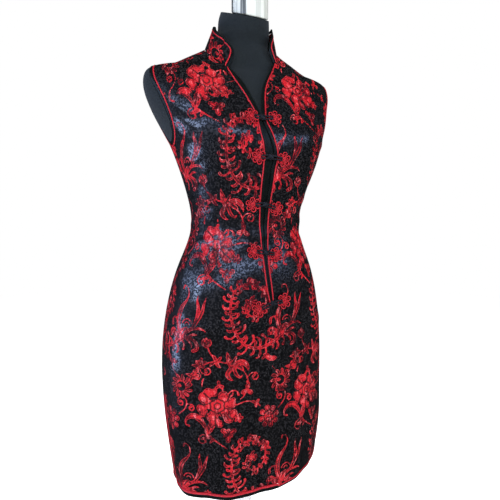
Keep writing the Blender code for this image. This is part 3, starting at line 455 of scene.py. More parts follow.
FOLDS = table(
    Fold,
    (-0.0013, 0.0042, WAIST_DART), (-0.0013, 0.0042, mirrored(WAIST_DART)),
    (-0.0010, 0.0040, BUST_DART), (-0.0011, 0.0040, mirrored(BUST_DART)),
    (-0.0012, 0.0042, ((148, 0.575), (149, 0.520), (147, 0.470), (144, 0.415))),
    (-0.0012, 0.0042, ((212, 0.575), (211, 0.520), (213, 0.470), (216, 0.412))),
    # drag lines at the waist, front
    (0.0019, 0.0075, ((-84, 0.498), (-66, 0.508), (-50, 0.526))),
    (-0.0015, 0.0068, ((-80, 0.516), (-62, 0.530), (-46, 0.548))),
    (0.0014, 0.0070, ((-78, 0.470), (-60, 0.480), (-44, 0.486))),
    (-0.0013, 0.0080, ((-30, 0.512), (-12, 0.506), (4, 0.511))),
    (0.0013, 0.0085, ((-22, 0.490), (-4, 0.486), (14, 0.494))),
    (0.0017, 0.0075, ((82, 0.503), (64, 0.512), (45, 0.530))),
    (-0.0014, 0.0070, ((78, 0.482), (58, 0.492), (38, 0.498))),
    (0.0012, 0.0075, ((74, 0.548), (58, 0.560), (44, 0.576))),
    # pulls from the armholes and under the bust
    (0.0015, 0.0070, ((-72, 0.676), (-60, 0.660), (-48, 0.652))),
    (-0.0012, 0.0068, ((-66, 0.705), (-52, 0.690), (-40, 0.684))),
    (0.0013, 0.0066, ((-80, 0.628), (-64, 0.622), (-50, 0.630))),
    (0.0014, 0.0070, ((72, 0.680), (58, 0.662), (46, 0.656))),
    (-0.0012, 0.0065, ((64, 0.712), (50, 0.696), (38, 0.690))),
    # soft swags across hips and thighs
    (0.0017, 0.0130, ((-76, 0.330), (-50, 0.318), (-26, 0.322))),
    (-0.0014, 0.0120, ((-70, 0.288), (-44, 0.276), (-16, 0.284))),
    (0.0014, 0.0140, ((-20, 0.300), (10, 0.292), (36, 0.302))),
    (0.0016, 0.0125, ((76, 0.322), (52, 0.310), (30, 0.318))),
    # waves that fall to the hem
    (0.0034, 0.0170, ((-70, 0.190), (-68, 0.100), (-66, 0.000))),
    (-0.0026, 0.0150, ((-48, 0.150), (-46, 0.070), (-45, 0.000))),
    (0.0030, 0.0180, ((-26, 0.170), (-27, 0.080), (-28, 0.000))),
    (-0.0026, 0.0160, ((-2, 0.130), (-3, 0.060), (-4, 0.000))),
    (0.0028, 0.0170, ((24, 0.180), (25, 0.090), (26, 0.000))),
    (-0.0022, 0.0150, ((50, 0.140), (51, 0.060), (52, 0.000))),
    (0.0028, 0.0160, ((72, 0.170), (71, 0.080), (70, 0.000))),
    (0.0030, 0.0180, ((112, 0.180), (113, 0.090), (112, 0.000))),
    (-0.0026, 0.0170, ((140, 0.150), (141, 0.070), (142, 0.000))),
    (0.0034, 0.0200, ((172, 0.200), (171, 0.100), (170, 0.000))),
    (-0.0024, 0.0160, ((204, 0.140), (205, 0.060), (206, 0.000))),
    (0.0028, 0.0180, ((238, 0.180), (238, 0.080), (239, 0.000))),
    # back: waist pulls and shoulder-blade drags
    (0.0018, 0.0080, ((100, 0.505), (122, 0.514), (144, 0.528))),
    (-0.0014, 0.0075, ((104, 0.484), (128, 0.492), (150, 0.498))),
    (0.0018, 0.0080, ((260, 0.503), (238, 0.512), (216, 0.530))),
    (-0.0014, 0.0075, ((256, 0.482), (232, 0.490), (208, 0.494))),
    (0.0015, 0.0090, ((160, 0.490), (180, 0.484), (200, 0.492))),
    (-0.0014, 0.0090, ((158, 0.516), (180, 0.510), (202, 0.518))),
    (0.0014, 0.0080, ((118, 0.700), (134, 0.716), (150, 0.720))),
    (0.0014, 0.0080, ((242, 0.698), (226, 0.714), (210, 0.722))),
    (0.0015, 0.0130, ((110, 0.330), (140, 0.318), (172, 0.326))),
    (0.0014, 0.0130, ((250, 0.326), (222, 0.314), (190, 0.322))),
)
FOLD_STEPS, FOLD_FADE, FOLD_REACH = 14, 0.36, 2.4   # fade is a share of the length
AT_HEM = 0.005                          # a fold that ends this low doesn't fade there
DEEPEST_ON_FORM, DEEPEST_BELOW = -0.0021, -0.010


def fold_line(path):
    """Points of a fold on the smooth surface, with how strong it is along its length."""
    stops = np.array(path, float)
    at = np.linspace(0, len(stops) - 1, FOLD_STEPS)
    angle = np.interp(at, range(len(stops)), stops[:, 0])
    rise = np.interp(at, range(len(stops)), stops[:, 1])
    strength = np.ones(FOLD_STEPS)
    for end, way in ((0, 1), (-1, -1)):
        if stops[end, 1] > AT_HEM:
            ramp = np.clip(np.arange(FOLD_STEPS) / (FOLD_FADE * FOLD_STEPS), 0, 1)[::way]
            strength = strength * eased(ramp)
    return surface(np.stack([np.radians(angle), girth_at(rise)], -1)), strength


FOLD_LINES = [(fold, *fold_line(fold.path)) for fold in FOLDS]
SEAM_SINK, SEAM_SPREAD, SIDE_RADIUS = 0.0007, 0.0030, 0.15


def relief(points, angle):
    """How far the folds lift the cloth off the smooth surface."""
    flat = points.reshape(-1, 3)
    lift = np.zeros(len(flat))
    for fold, line, strength in FOLD_LINES:
        reach = FOLD_REACH * fold.width
        low, high = line.min(0) - reach, line.max(0) + reach
        near = np.flatnonzero(((flat > low) & (flat < high)).all(1))
        if not len(near):
            continue
        best = np.full(len(near), 1e9)
        power = np.zeros(len(near))
        for a, b, sa, sb in zip(line[:-1], line[1:], strength[:-1], strength[1:]):
            ab = b - a
            t = np.clip((flat[near] - a) @ ab / (ab @ ab), 0, 1)
            away = np.linalg.norm(flat[near] - a - t[:, None] * ab, axis=1)
            closer = away < best
            best[closer] = away[closer]
            power[closer] = (sa + (sb - sa) * t)[closer]
        lift[near] += fold.height * power * np.exp(-(best / fold.width) ** 2)
    side = np.abs(np.cos(angle).reshape(-1)) * SIDE_RADIUS
    lift = np.maximum(lift, np.where(flat[:, 2] > HEM_HEIGHT + FORM_BOTTOM, DEEPEST_ON_FORM,
                                     DEEPEST_BELOW))
    lift = lift - SEAM_SINK * np.exp(-(side / SEAM_SPREAD) ** 2)
    return lift.reshape(points.shape[:-1])


def lifted(place, lift=0.0):
    """Point on the worked cloth, folds included, a lift above its outer face."""
    base = surface(place)
    out = outward(place)
    rise = relief(base, place[..., 0]) + lift
    return base + out * rise[..., None]


print("folds placed:", len(FOLDS))

# %% [markdown]
# ## Edges and seams
# The hem, slits, armholes, neckline and the front slash are lines on the surface.  A band
# such as a binding lies between two lines that run side by side over the cloth.

# %% Hem and slits
HEM_SAMPLES, SLIT_SAMPLES, ARC_SAMPLES, HOLE_SAMPLES = 170, 56, 13, 72
RIGHT_SIDE, LEFT_SIDE = -np.pi / 2, np.pi / 2
SLIT_POINT = 0.06                       # share of a band's width left at the slit's top


def neckline(angles):
    """Places of the neck seam at given angles in degrees."""
    rises = spline([n.angle for n in NECKLINE], [n.rise for n in NECKLINE], angles)
    return np.stack([np.radians(angles), girth_at(rises)], -1)


def seam_angle(girth, width):
    """Angle that spans a width of cloth at the side seam."""
    place = np.stack([np.full_like(girth, LEFT_SIDE), girth], -1)
    return width / np.linalg.norm(slopes(place)[0], axis=-1)


def lifted_hem(turn):
    """Girth of the hem, which is cut a little higher at the left side."""
    from_middle = 90 - np.abs(np.degrees(turn) - 90)
    share = np.clip((from_middle - HEM_LIFT_FROM) / (HEM_LIFT_TO - HEM_LIFT_FROM), 0, 1)
    return girth_at(HEM_LIFT * eased(share))


def rim(start_seam, end_seam, start_corner, end_corner):
    """Edge of one skirt panel: down a slit, round the hem, up the other slit."""
    top = girth_at(SLIT_TOP - GAP)
    sides = []
    for seam_turn, radius, way in ((start_seam, start_corner, 1), (end_seam, end_corner, -1)):
        along, climb = slopes(np.array([[seam_turn, 0.0]]))
        turn = np.radians(np.linspace(0, 90, ARC_SAMPLES))
        arc_angle = way * radius * (1 - np.cos(turn)) / np.linalg.norm(along)
        arc_girth = (radius * (1 - np.sin(turn)) / np.linalg.norm(climb)
                     + lifted_hem(seam_turn))
        girth = np.concatenate([np.linspace(top, arc_girth[0], SLIT_SAMPLES + 1)[:-1],
                                arc_girth])
        bend = np.concatenate([np.zeros(SLIT_SAMPLES), arc_angle])
        half_slit = GAP / 2 + SLIT_GAPE / 2 * (top - girth) / top
        sides.append(np.stack([seam_turn + bend + way * seam_angle(girth, half_slit),
                               girth], -1))
    first, last = sides[0], sides[1][::-1]
    middle = np.linspace(first[-1, 0], last[0, 0], HEM_SAMPLES + 2)[1:-1]
    return np.concatenate([first, np.stack([middle, lifted_hem(middle)], -1), last])


def skirt_lines(*corners):
    """Rim line of a skirt panel, then the lines where its trim and cloth begin."""
    line = rim(*corners)
    width = np.clip((SLIT_TOP - column("rise", line[:, 1])) / SLIT_MITRE, SLIT_POINT, 1)
    binding, piping = HEM_BINDING * width, PIPING_WIDTH * width
    return [line] + [sideways(line, reach) for reach in
                     (binding, binding + GAP, binding + GAP + piping,
                      binding + piping + 2 * GAP)]


def length_of(line):
    return float(travelled(surface(line))[-1])


front_skirt = skirt_lines(RIGHT_SIDE, LEFT_SIDE, FRONT_CORNER_RIGHT, FRONT_CORNER_LEFT)
back_skirt = skirt_lines(LEFT_SIDE, 3 * LEFT_SIDE, BACK_CORNER, BACK_CORNER)
print("front rim", round(length_of(front_skirt[0]), 3), "m")

# %% Armholes
def armhole_lines(side):
    """Closed edge line of an armhole, then the lines where its trim and cloth begin."""
    low = girth_at(ARMHOLE_LOW)
    after = FINE_GIRTH > girth_at(SHOULDER_RISE)
    top = np.interp(-ARMHOLE_TOP, -COLUMNS["half_width"][after], FINE_GIRTH[after])
    turn = np.linspace(0, 2 * np.pi, 2 * HOLE_SAMPLES - 1)
    cut = np.where(turn <= np.pi, ARMHOLE_FRONT_CUT, ARMHOLE_BACK_CUT)
    line = np.stack([side * np.radians(90 - cut * np.sin(turn)),
                     low + (top - low) * (1 - np.cos(turn)) / 2], -1)
    longer = np.concatenate([line[-3:-1], line, line[1:3]])
    reaches = (ARMHOLE_BINDING, ARMHOLE_BINDING + GAP, ARMHOLE_BINDING + GAP + PIPING_WIDTH,
               ARMHOLE_BINDING + 2 * GAP + PIPING_WIDTH)
    return [line] + [sideways(longer, side * reach)[2:-2] for reach in reaches]


holes = {-1: armhole_lines(-1), 1: armhole_lines(1)}
print("armhole", round(length_of(holes[1][0]), 3), "m")

# %% Front edges
DENSE_FROM, STRETCH_FROM = 0.600, 0.700   # rises: closer points above, and the stretched part
OPENING_TOP_GAP = 1.6 * GAP
OPENING_RISES = np.concatenate([np.linspace(SLASH_FOOT, DENSE_FROM, 97),
                                np.linspace(DENSE_FROM, OPENING_TOP, 81)[1:]])


def opening_lines(rows, way, top_rise):
    """Edge, binding side, piping sides and cloth line of one front edge, foot to neck."""
    stretch = np.clip((OPENING_RISES - STRETCH_FROM) / (OPENING_TOP - STRETCH_FROM), 0, 1)
    rises = OPENING_RISES + stretch * (top_rise - OPENING_TOP)
    knots = [row.rise for row in rows]
    edge = place_at_x(spline(knots, [row.edge_x for row in rows], rises), rises)
    pipe = place_at_x(spline(knots, [row.piping_x for row in rows], rises), rises)
    lines = [edge, sideways(pipe, -way * GAP), pipe, sideways(pipe, way * PIPING_WIDTH),
             sideways(pipe, way * (PIPING_WIDTH + GAP))]
    for line in lines:
        line[0, 1] = girth_at(SLASH_FOOT)
        turn = np.degrees(line[-1, 0])
        seam_place = neckline(np.array([turn + 360 if turn < 0 else turn]))
        line[-1, 1] = seam_place[0, 1] - OPENING_TOP_GAP
    return lines


fronts = {-1: opening_lines(RIGHT_EDGE, 1, OPENING_TOP),
          1: opening_lines(LEFT_EDGE, -1, OPENING_TOP + LEFT_TOP_STEP)}
print("front edges", round(length_of(fronts[-1][0]), 3), "and",
      round(length_of(fronts[1][0]), 3), "m long")

# %% [markdown]
# ## The brocade's drawing
# The cloth repeats one tile about 19 cm wide and 29 cm high: a garland with comb teeth that
# rolls up into a ring, a peony, a fan of flame leaves, two small round flowers, a bud and
# curled tendrils.  Each figure is a few strokes whose width swells and thins.  Their
# distance field is worked out once on a fine grid, so any mesh can read at each of its
# points how far it is inside or outside a figure.

# %% Strokes
TILE_WIDTH, TILE_HEIGHT = 19.2, 29.0    # centimetres
CHAIN_STEPS = 7
figure_strokes, vein_strokes = [], []


def smooth_chain(stops):
    """Catmull-Rom chain through rows of x, y, radius."""
    p = np.array(stops, float)
    p = np.concatenate([[2 * p[0] - p[1]], p, [2 * p[-1] - p[-2]]])
    t = np.linspace(0, 1, CHAIN_STEPS, endpoint=False)[:, None]
    parts = [0.5 * (2 * b + (c - a) * t + (2 * a - 5 * b + 4 * c - d) * t ** 2
                    + (3 * b - a - 3 * c + d) * t ** 3)
             for a, b, c, d in zip(p[:-3], p[1:-2], p[2:-1], p[3:])]
    return np.concatenate(parts + [p[-2:-1]])


def frond(x, y, heading, length, turn, widths, curl=1.0, steps=12, into=figure_strokes):
    """Stroke that grows from x, y and bends by turn degrees; curl above 1 bends its tip most."""
    s = np.linspace(0, 1, steps + 1)
    way = np.radians(heading + turn * s ** curl)
    stride = length / steps * (1.25 - 0.5 * s if curl > 1 else np.ones_like(s))
    xs = x + np.concatenate([[0], np.cumsum(stride[1:] * np.cos(way[1:]))])
    ys = y + np.concatenate([[0], np.cumsum(stride[1:] * np.sin(way[1:]))])
    radii = np.interp(s, np.linspace(0, 1, len(widths)), widths)
    into.append(np.stack([xs, ys, radii], -1))
    return xs[-1], ys[-1]


def stem(*stops, into=figure_strokes):
    into.append(smooth_chain(stops))


def dark_line(*stops):
    """Inner line of a figure, left dark."""
    stem(*stops, into=vein_strokes)


def blossom(x, y, petals, inner, length, widths, start=0.0):
    """Ring of petals round x, y."""
    for k in range(petals):
        heading = start + 360.0 * k / petals
        c, s = np.cos(np.radians(heading)), np.sin(np.radians(heading))
        frond(x + inner * c, y + inner * s, heading, length, 0, widths, steps=5)


def ring(x, y, radius, thick, start=0.0, end=360.0, scallop=0.0, into=vein_strokes):
    """Closed or open ring; a scalloped one swells six times in a full turn."""
    t = np.radians(np.linspace(start, end, 40))
    r = radius * (1 + scallop * np.abs(np.sin(3 * t)))
    into.append(np.stack([x + r * np.cos(t), y + r * np.sin(t), np.full(40, thick)], -1))


TENDRIL = (0.11, 0.13, 0.14, 0.16, 0.27)
HOOK = (0.16, 0.20, 0.18, 0.20, 0.29)
COMMA = (0.14, 0.24, 0.28, 0.20, 0.06)
LEAF = (0.10, 0.42, 0.50, 0.30, 0.06)
print("tile", TILE_WIDTH, "by", TILE_HEIGHT, "cm")

# %% Garland and its teeth
GARLAND = ((3.3, 1.7, 0.56), (1.2, 0.2, 0.40), (-1.4, -0.7, 0.30), (-4.0, -0.2, 0.27),
           (-5.9, 1.8, 0.26), (-6.9, 4.4, 0.25), (-7.2, 6.9, 0.23), (-6.8, 9.1, 0.21),
           (-5.6, 10.6, 0.20), (-3.7, 11.1, 0.20), (-1.7, 10.4, 0.20), (-0.5, 8.6, 0.20),
           (-0.8, 6.4, 0.19), (-2.3, 5.2, 0.19), (-3.8, 5.6, 0.20), (-4.4, 7.1, 0.28),
           (-3.6, 8.0, 0.40), (-2.7, 7.6, 0.46))
spine = smooth_chain(GARLAND)
figure_strokes.append(spine)
run = travelled(spine[:, :2])
TOOTH = ((0.0, 2.3, 2.4, 1.22), (0.19, 2.3, 2.4, 1.16), (0.28, 2.0, 2.1, 1.05),
         (0.42, 1.75, 1.65, 1.00), (0.52, 1.45, 1.20, 0.98), (0.68, 1.1, 0.9, 0.86),
         (1.0, 0.9, 0.8, 0.80))      # share of the run; outer and inner length, pitch in cm
tooth_share, outer_length, inner_length, tooth_pitch = np.array(TOOTH).T
at, number = 0.9, 0
while at < run[-1] - 0.4:
    x, y = np.interp(at, run, spine[:, 0]), np.interp(at, run, spine[:, 1])
    dx = np.interp(at + 0.1, run, spine[:, 0]) - np.interp(at - 0.1, run, spine[:, 0])
    dy = np.interp(at + 0.1, run, spine[:, 1]) - np.interp(at - 0.1, run, spine[:, 1])
    heading = np.degrees(np.arctan2(dy, dx))
    out, back = (np.interp(at / run[-1], tooth_share, sizes) for sizes in
                 (outer_length, inner_length))
    uneven = 1 + 0.20 * np.sin(2.3 * number) + 0.10 * np.sin(5.1 * number)
    sway = 12 * np.sin(3.7 * number + 0.5)
    widths = COMMA if number % 3 else HOOK
    frond(x, y, heading + 124 + sway, out * uneven, -112 - 14 * (number % 3) - sway,
          widths, curl=1.2, steps=9)
    if at < 0.72 * run[-1] or number % 2:
        frond(x, y, heading - 130 + sway, back * uneven, 104 + 12 * (number % 3), widths,
              curl=1.2, steps=9)
    at += np.interp(at / run[-1], tooth_share, tooth_pitch) * (1 + 0.16 * np.sin(4.1 * number))
    number += 1
for x, y, heading, length, turn in ((-3.9, 11.3, 78, 3.0, -330), (-1.0, 10.0, 48, 2.0, -220)):
    frond(x, y, heading, length, turn, (0.20, 0.18, 0.20, 0.30), curl=1.3, steps=14)
for k in range(5):
    way = np.radians(20 + 72 * k)
    stem((-3.2, 7.75, 0.2), (-3.2 + 0.75 * np.cos(way), 7.75 + 0.75 * np.sin(way), 0.30))
print("garland", round(float(run[-1]), 1), "cm long, with teeth at", number, "points")

# %% Fan of flame leaves
stem((2.6, 1.6, 0.50), (3.3, 2.4, 0.72), (3.9, 3.0, 0.50))
stem((2.7, 2.2, 0.42), (2.15, 3.7, 0.50), (2.1, 5.2, 0.52), (2.7, 6.8, 0.44),
     (3.7, 8.0, 0.24), (4.3, 9.2, 0.15), (4.0, 10.4, 0.13), (3.2, 10.7, 0.15),
     (3.0, 10.2, 0.20))
stem((3.9, 2.6, 0.40), (5.2, 3.4, 0.30), (6.1, 4.7, 0.30), (6.9, 6.2, 0.34),
     (7.3, 7.7, 0.22), (7.8, 9.0, 0.06))
stem((5.2, 3.6, 0.14), (6.0, 5.4, 0.30), (6.2, 6.9, 0.34), (6.0, 8.2, 0.20), (6.2, 9.2, 0.05))
stem((4.6, 3.0, 0.20), (5.9, 3.3, 0.24), (7.0, 3.2, 0.20), (7.8, 2.6, 0.08))
for radius, thick in ((0.42, 0.13), (0.98, 0.14)):
    ring(4.05, 3.9, radius, thick, 10, 170, into=figure_strokes)
stem((2.9, 2.6, 0.26), (2.0, 3.8, 0.16), (1.3, 4.9, 0.18), (0.5, 4.6, 0.22), (0.5, 3.7, 0.30))
stem((2.3, 1.2, 0.30), (1.6, 2.4, 0.18), (0.9, 2.9, 0.20), (0.2, 2.5, 0.22), (0.3, 1.7, 0.32))
stem((3.6, 1.7, 0.35), (4.9, 1.4, 0.26), (5.9, 0.7, 0.32), (6.0, -0.4, 0.38), (5.3, -0.8, 0.34))
stem((4.3, 1.7, 0.20), (5.4, 2.2, 0.22), (6.3, 2.1, 0.09))
stem((3.9, 1.3, 0.18), (4.9, 0.5, 0.20), (5.0, -0.3, 0.10))
dark_line((2.7, 2.6, 0.05), (2.2, 4.3, 0.08), (2.4, 6.0, 0.07), (3.2, 7.4, 0.05))
dark_line((5.3, 3.5, 0.05), (6.3, 5.0, 0.07), (7.0, 6.6, 0.05))
dark_line((3.0, 2.0, 0.05), (3.6, 2.9, 0.09), (4.0, 3.3, 0.05))
print("strokes so far:", len(figure_strokes))

# %% Peony and its leaf
PEONY = (-9.5, 18.1)
PEONY_LOBES = (                          # across and up from the middle, radius
    (0.0, 0.0, 1.45), (-2.3, 1.6, 1.10), (-1.6, 2.5, 0.92), (-0.6, 2.5, 0.78), (-2.9, -0.4, 0.88),
    (-2.5, -1.2, 0.80), (-1.3, -2.0, 0.80), (-0.6, -2.8, 0.95), (0.3, -3.3, 0.70),
    (2.0, -2.3, 0.98), (2.75, -1.5, 0.85), (2.5, 0.2, 0.90), (2.9, 0.9, 0.52), (1.1, 1.8, 0.95),
    (1.8, 1.3, 0.62), (-1.5, 0.5, 1.0), (1.2, -1.2, 1.0), (-0.6, -1.4, 0.9), (1.3, 0.4, 0.9))
for dx, dy, radius in PEONY_LOBES:
    x, y = PEONY[0] + dx, PEONY[1] + dy
    figure_strokes.append(np.array(((x, y, radius), (x + 0.01, y, radius))))
PEONY_GAPS = (((-3.6, 0.55), (-2.4, 0.3), (-1.4, 0.6)), ((-2.3, -2.2), (-1.9, -1.2), (-1.2, -0.7)),
              ((0.9, -3.3), (0.8, -2.1), (0.5, -1.3)), ((3.7, -0.5), (2.4, -0.7), (1.4, -0.5)),
              ((2.3, 1.9), (1.8, 0.9), (1.2, 0.6)), ((0.2, 3.0), (0.1, 2.0), (-0.1, 1.3)),
              ((-2.3, 2.4), (-1.5, 1.6), (-0.8, 1.1)), ((-0.4, -3.6), (-0.5, -2.6), (-0.4, -1.5)),
              ((2.6, -2.6), (1.9, -1.8), (1.2, -1.1)))
for gap in PEONY_GAPS:
    dark_line(*((PEONY[0] + x, PEONY[1] + y, r) for (x, y), r in zip(gap, (0.16, 0.09, 0.06))))
ring(*PEONY, 1.12, 0.08, scallop=0.24)
ring(*PEONY, 0.52, 0.08, scallop=0.2)
blossom(-9.1, 21.9, 3, 0.30, 0.36, (0.26, 0.34, 0.30), start=100)
stem((-8.4, 20.9, 0.16), (-8.7, 21.5, 0.22), (-9.1, 21.9, 0.3))
stem((-7.6, 20.0, 0.13), (-6.8, 20.8, 0.14), (-5.9, 20.6, 0.16), (-5.6, 19.9, 0.26))
frond(-6.7, 20.6, -40, 1.1, -140, (0.14, 0.16, 0.22))
stem((-11.6, 13.3, 0.14), (-12.0, 14.6, 0.36), (-13.0, 15.9, 0.58), (-14.3, 16.2, 0.50),
     (-15.4, 15.4, 0.24), (-15.5, 14.5, 0.18), (-14.9, 14.3, 0.22))
dark_line((-11.9, 14.2, 0.05), (-12.7, 15.4, 0.08), (-13.9, 15.8, 0.05))
frond(-11.3, 13.1, 86, 2.6, -26, (0.12, 0.36, 0.36, 0.07))
frond(-11.2, 13.0, 60, 1.7, -16, (0.12, 0.24, 0.22, 0.07))
stem((-11.8, 13.4, 0.22), (-10.9, 12.4, 0.20), (-9.7, 11.4, 0.17), (-8.0, 10.2, 0.15))
frond(-10.9, 12.5, 215, 1.3, -50, (0.20, 0.36, 0.14))
frond(-10.3, 11.9, 192, 1.0, 50, (0.16, 0.28, 0.12))
frond(-11.2, 12.7, 160, 5.6, 395, TENDRIL, curl=1.5, steps=18)
print("strokes so far:", len(figure_strokes))

# %% Smaller flowers, lily and bud
blossom(-7.7, 12.9, 3, 0.30, 0.85, (0.34, 0.50, 0.46), start=25)
blossom(-7.7, 12.9, 3, 0.20, 0.70, (0.30, 0.34, 0.16), start=85)
dark_line((-8.0, 12.6, 0.05), (-7.4, 13.2, 0.07))
stem((-6.0, 18.1, 0.15), (-4.0, 18.5, 0.14), (-2.2, 18.0, 0.14), (-1.4, 17.2, 0.16))
blossom(-2.3, 18.0, 3, 0.15, 0.80, (0.20, 0.32, 0.10), start=35)
for k in range(8):
    way = np.radians(10 + 45 * k)
    stem((0.3 + 1.0 * np.cos(way), 15.0 + 1.0 * np.sin(way), 0.30),
         (0.3 + 1.65 * np.cos(way), 15.0 + 1.7 * np.sin(way), 0.52))
    dark_line((0.3 + 1.45 * np.cos(way + 0.39), 15.0 + 1.45 * np.sin(way + 0.39), 0.05),
              (0.3 + 2.0 * np.cos(way + 0.39), 15.0 + 2.0 * np.sin(way + 0.39), 0.09))
blossom(0.3, 15.0, 6, 0.30, 0.45, (0.24, 0.32, 0.26), start=30)
blossom(0.3, 15.0, 6, 0.0, 0.3, (0.10, 0.10, 0.10), start=0)
ring(0.3, 15.0, 0.98, 0.05, scallop=0.12)
blossom(-3.9, 20.6, 3, 0.34, 0.55, (0.30, 0.46, 0.42), start=-38)
frond(-3.7, 21.2, 40, 1.2, 120, (0.16, 0.20, 0.22))
stem((-5.3, 19.0, 0.10), (-4.4, 19.8, 0.14), (-3.8, 21.4, 0.15), (-3.9, 23.0, 0.15),
     (-4.6, 24.2, 0.15), (-5.8, 25.1, 0.2))
frond(-3.9, 22.8, 66, 5.4, -400, TENDRIL, curl=1.5, steps=18)
LILY = (((-6.9, 25.4, 0.50), (-7.4, 26.7, 0.46), (-7.8, 28.2, 0.05)),
        ((-6.8, 25.7, 0.34), (-6.2, 26.6, 0.30), (-5.9, 27.3, 0.05)),
        ((-6.3, 25.6, 0.46), (-5.0, 26.0, 0.52), (-4.0, 25.3, 0.42), (-3.6, 24.0, 0.05)),
        ((-5.6, 25.3, 0.34), (-4.9, 24.8, 0.30), (-4.6, 24.2, 0.05)),
        ((-7.0, 24.9, 0.42), (-7.6, 23.8, 0.42), (-7.0, 22.9, 0.26), (-6.4, 22.7, 0.05)),
        ((-6.4, 24.9, 0.36), (-6.0, 23.8, 0.32), (-5.3, 23.1, 0.20), (-4.9, 23.4, 0.16)))
for leaf in LILY:
    stem(*leaf)
    dark_line(*((x, y, 0.06) for x, y, _ in leaf[:-1]))
stem((-7.6, 25.9, 0.16), (-8.8, 26.2, 0.15), (-9.7, 26.3, 0.18))
for heading in (95, 195, 285, 20):
    frond(-9.7, 26.3, heading, 1.5, 45, (0.16, 0.34, 0.28, 0.08))
stem((-9.8, 26.6, 0.16), (-10.7, 27.8, 0.15), (-11.2, 29.0, 0.17))
for side in (-1, 1):
    stem((-11.4, 29.0, 0.22), (-11.4 + 0.62 * side, 29.7, 0.36), (-11.4 + 0.45 * side, 30.5, 0.16))
stem((-11.4, 29.3, 0.45), (-11.4, 30.0, 0.36), (-11.4, 30.9, 0.07))
ring(-11.4, 29.95, 0.40, 0.09, 200, 340)
stem((-10.0, 26.3, 0.15), (-11.4, 26.0, 0.16), (-12.7, 25.2, 0.18), (-14.1, 23.1, 0.13))
for heading in (150, 100, 230):
    frond(-12.7, 25.3, heading, 1.5, 30, (0.18, 0.34, 0.26, 0.07))
frond(-12.5, 24.9, -72, 4.6, 385, TENDRIL, curl=1.5, steps=18)
frond(-11.9, 23.3, 245, 1.5, 25, (0.13, 0.19, 0.12))
print("strokes so far:", len(figure_strokes))

# %% Daisy ring, its tendrils and the sprigs between
for k in range(11):
    way = 360 * k / 11 + 5
    frond(3.0 + 1.05 * np.cos(np.radians(way)), 21.5 + 1.05 * np.sin(np.radians(way)), way,
          1.05, 42, (0.16, 0.34, 0.30))
    frond(3.0 + 0.9 * np.cos(np.radians(way)), 21.5 + 0.9 * np.sin(np.radians(way)), way + 8,
          0.9, 30, (0.03, 0.06, 0.04), into=vein_strokes)
ring(3.0, 21.5, 1.02, 0.15, into=figure_strokes)
frond(3.0, 21.5, 100, 1.4, 300, (0.14, 0.16, 0.20), curl=1.3)
stem((3.2, 19.9, 0.14), (4.0, 18.9, 0.14), (3.7, 17.5, 0.14), (2.3, 16.2, 0.14))
frond(3.0, 19.6, 200, 4.2, 380, TENDRIL, curl=1.5, steps=18)
frond(3.9, 18.2, 32, 4.0, -390, TENDRIL, curl=1.5, steps=18)
stem((4.5, 22.7, 0.12), (5.2, 23.6, 0.15), (6.6, 25.3, 0.12))
for heading in (60, 150, 240, 330):
    frond(5.2, 23.6, heading, 1.35, 30, (0.20, 0.32, 0.22, 0.06))
frond(6.2, 24.6, -35, 3.6, -360, TENDRIL, curl=1.5, steps=18)
blossom(6.8, 26.0, 5, 0.25, 0.55, (0.22, 0.34, 0.30), start=15)
ring(6.8, 26.0, 0.24, 0.07)
frond(0.6, 25.6, 100, 2.2, 70, LEAF)
frond(0.6, 25.6, 40, 1.7, -60, LEAF)
stem((0.7, 25.7, 0.12), (1.2, 24.4, 0.12), (2.2, 23.3, 0.12))
blossom(-5.7, 15.6, 5, 0.25, 0.42, (0.20, 0.32, 0.28), start=0)
print("strokes drawn:", len(figure_strokes), "and veins:", len(vein_strokes))

# %% Distance field of the tile
TILE_STEP = 0.04
FAR = 0.40                              # distances are only kept this close, in centimetres
columns_in_tile, rows_in_tile = round(TILE_WIDTH / TILE_STEP), round(TILE_HEIGHT / TILE_STEP)


def cells_over(first, second, pad):
    """Grid lines over the span between two numbers, with some more at both ends."""
    return np.arange(int((min(first, second) - pad) / TILE_STEP) - 1,
                     int((max(first, second) + pad) / TILE_STEP) + 2)


def distance_field(strokes):
    """Signed distance to the nearest stroke on the tile's grid, negative inside."""
    field = np.full((rows_in_tile, columns_in_tile), FAR)
    for chain in strokes:
        for (ax, ay, ar), (bx, by, br) in zip(chain[:-1], chain[1:]):
            pad = max(ar, br) + FAR
            cols, rows = cells_over(ax, bx, pad), cells_over(ay, by, pad)
            x, y = cols * TILE_STEP, rows[:, None] * TILE_STEP
            dx, dy = bx - ax, by - ay
            t = np.clip(((x - ax) * dx + (y - ay) * dy) / max(dx * dx + dy * dy, 1e-9), 0, 1)
            away = np.hypot(x - ax - t * dx, y - ay - t * dy) - (ar + t * (br - ar))
            where = np.ix_(rows % rows_in_tile, cols % columns_in_tile)
            field[where] = np.minimum(field[where], away)
    return field


tile_figure, tile_vein = distance_field(figure_strokes), distance_field(vein_strokes)


def between(value_at, row, col):
    """Bilinear reading; value_at gives the value at whole rows and columns."""
    r0, c0 = np.floor(row).astype(int), np.floor(col).astype(int)
    fr, fc = row - r0, col - c0
    return ((value_at(r0, c0) * (1 - fc) + value_at(r0, c0 + 1) * fc) * (1 - fr)
            + (value_at(r0 + 1, c0) * (1 - fc) + value_at(r0 + 1, c0 + 1) * fc) * fr)


def read_tile(field, across, up):
    """A tile's distance in centimetres, at metres across and up the cloth."""
    return between(lambda row, col: field[row % rows_in_tile, col % columns_in_tile],
                   up * 100 / TILE_STEP, across * 100 / TILE_STEP)


print("share of the tile that is figure:", round(float((tile_figure < 0).mean()), 2))

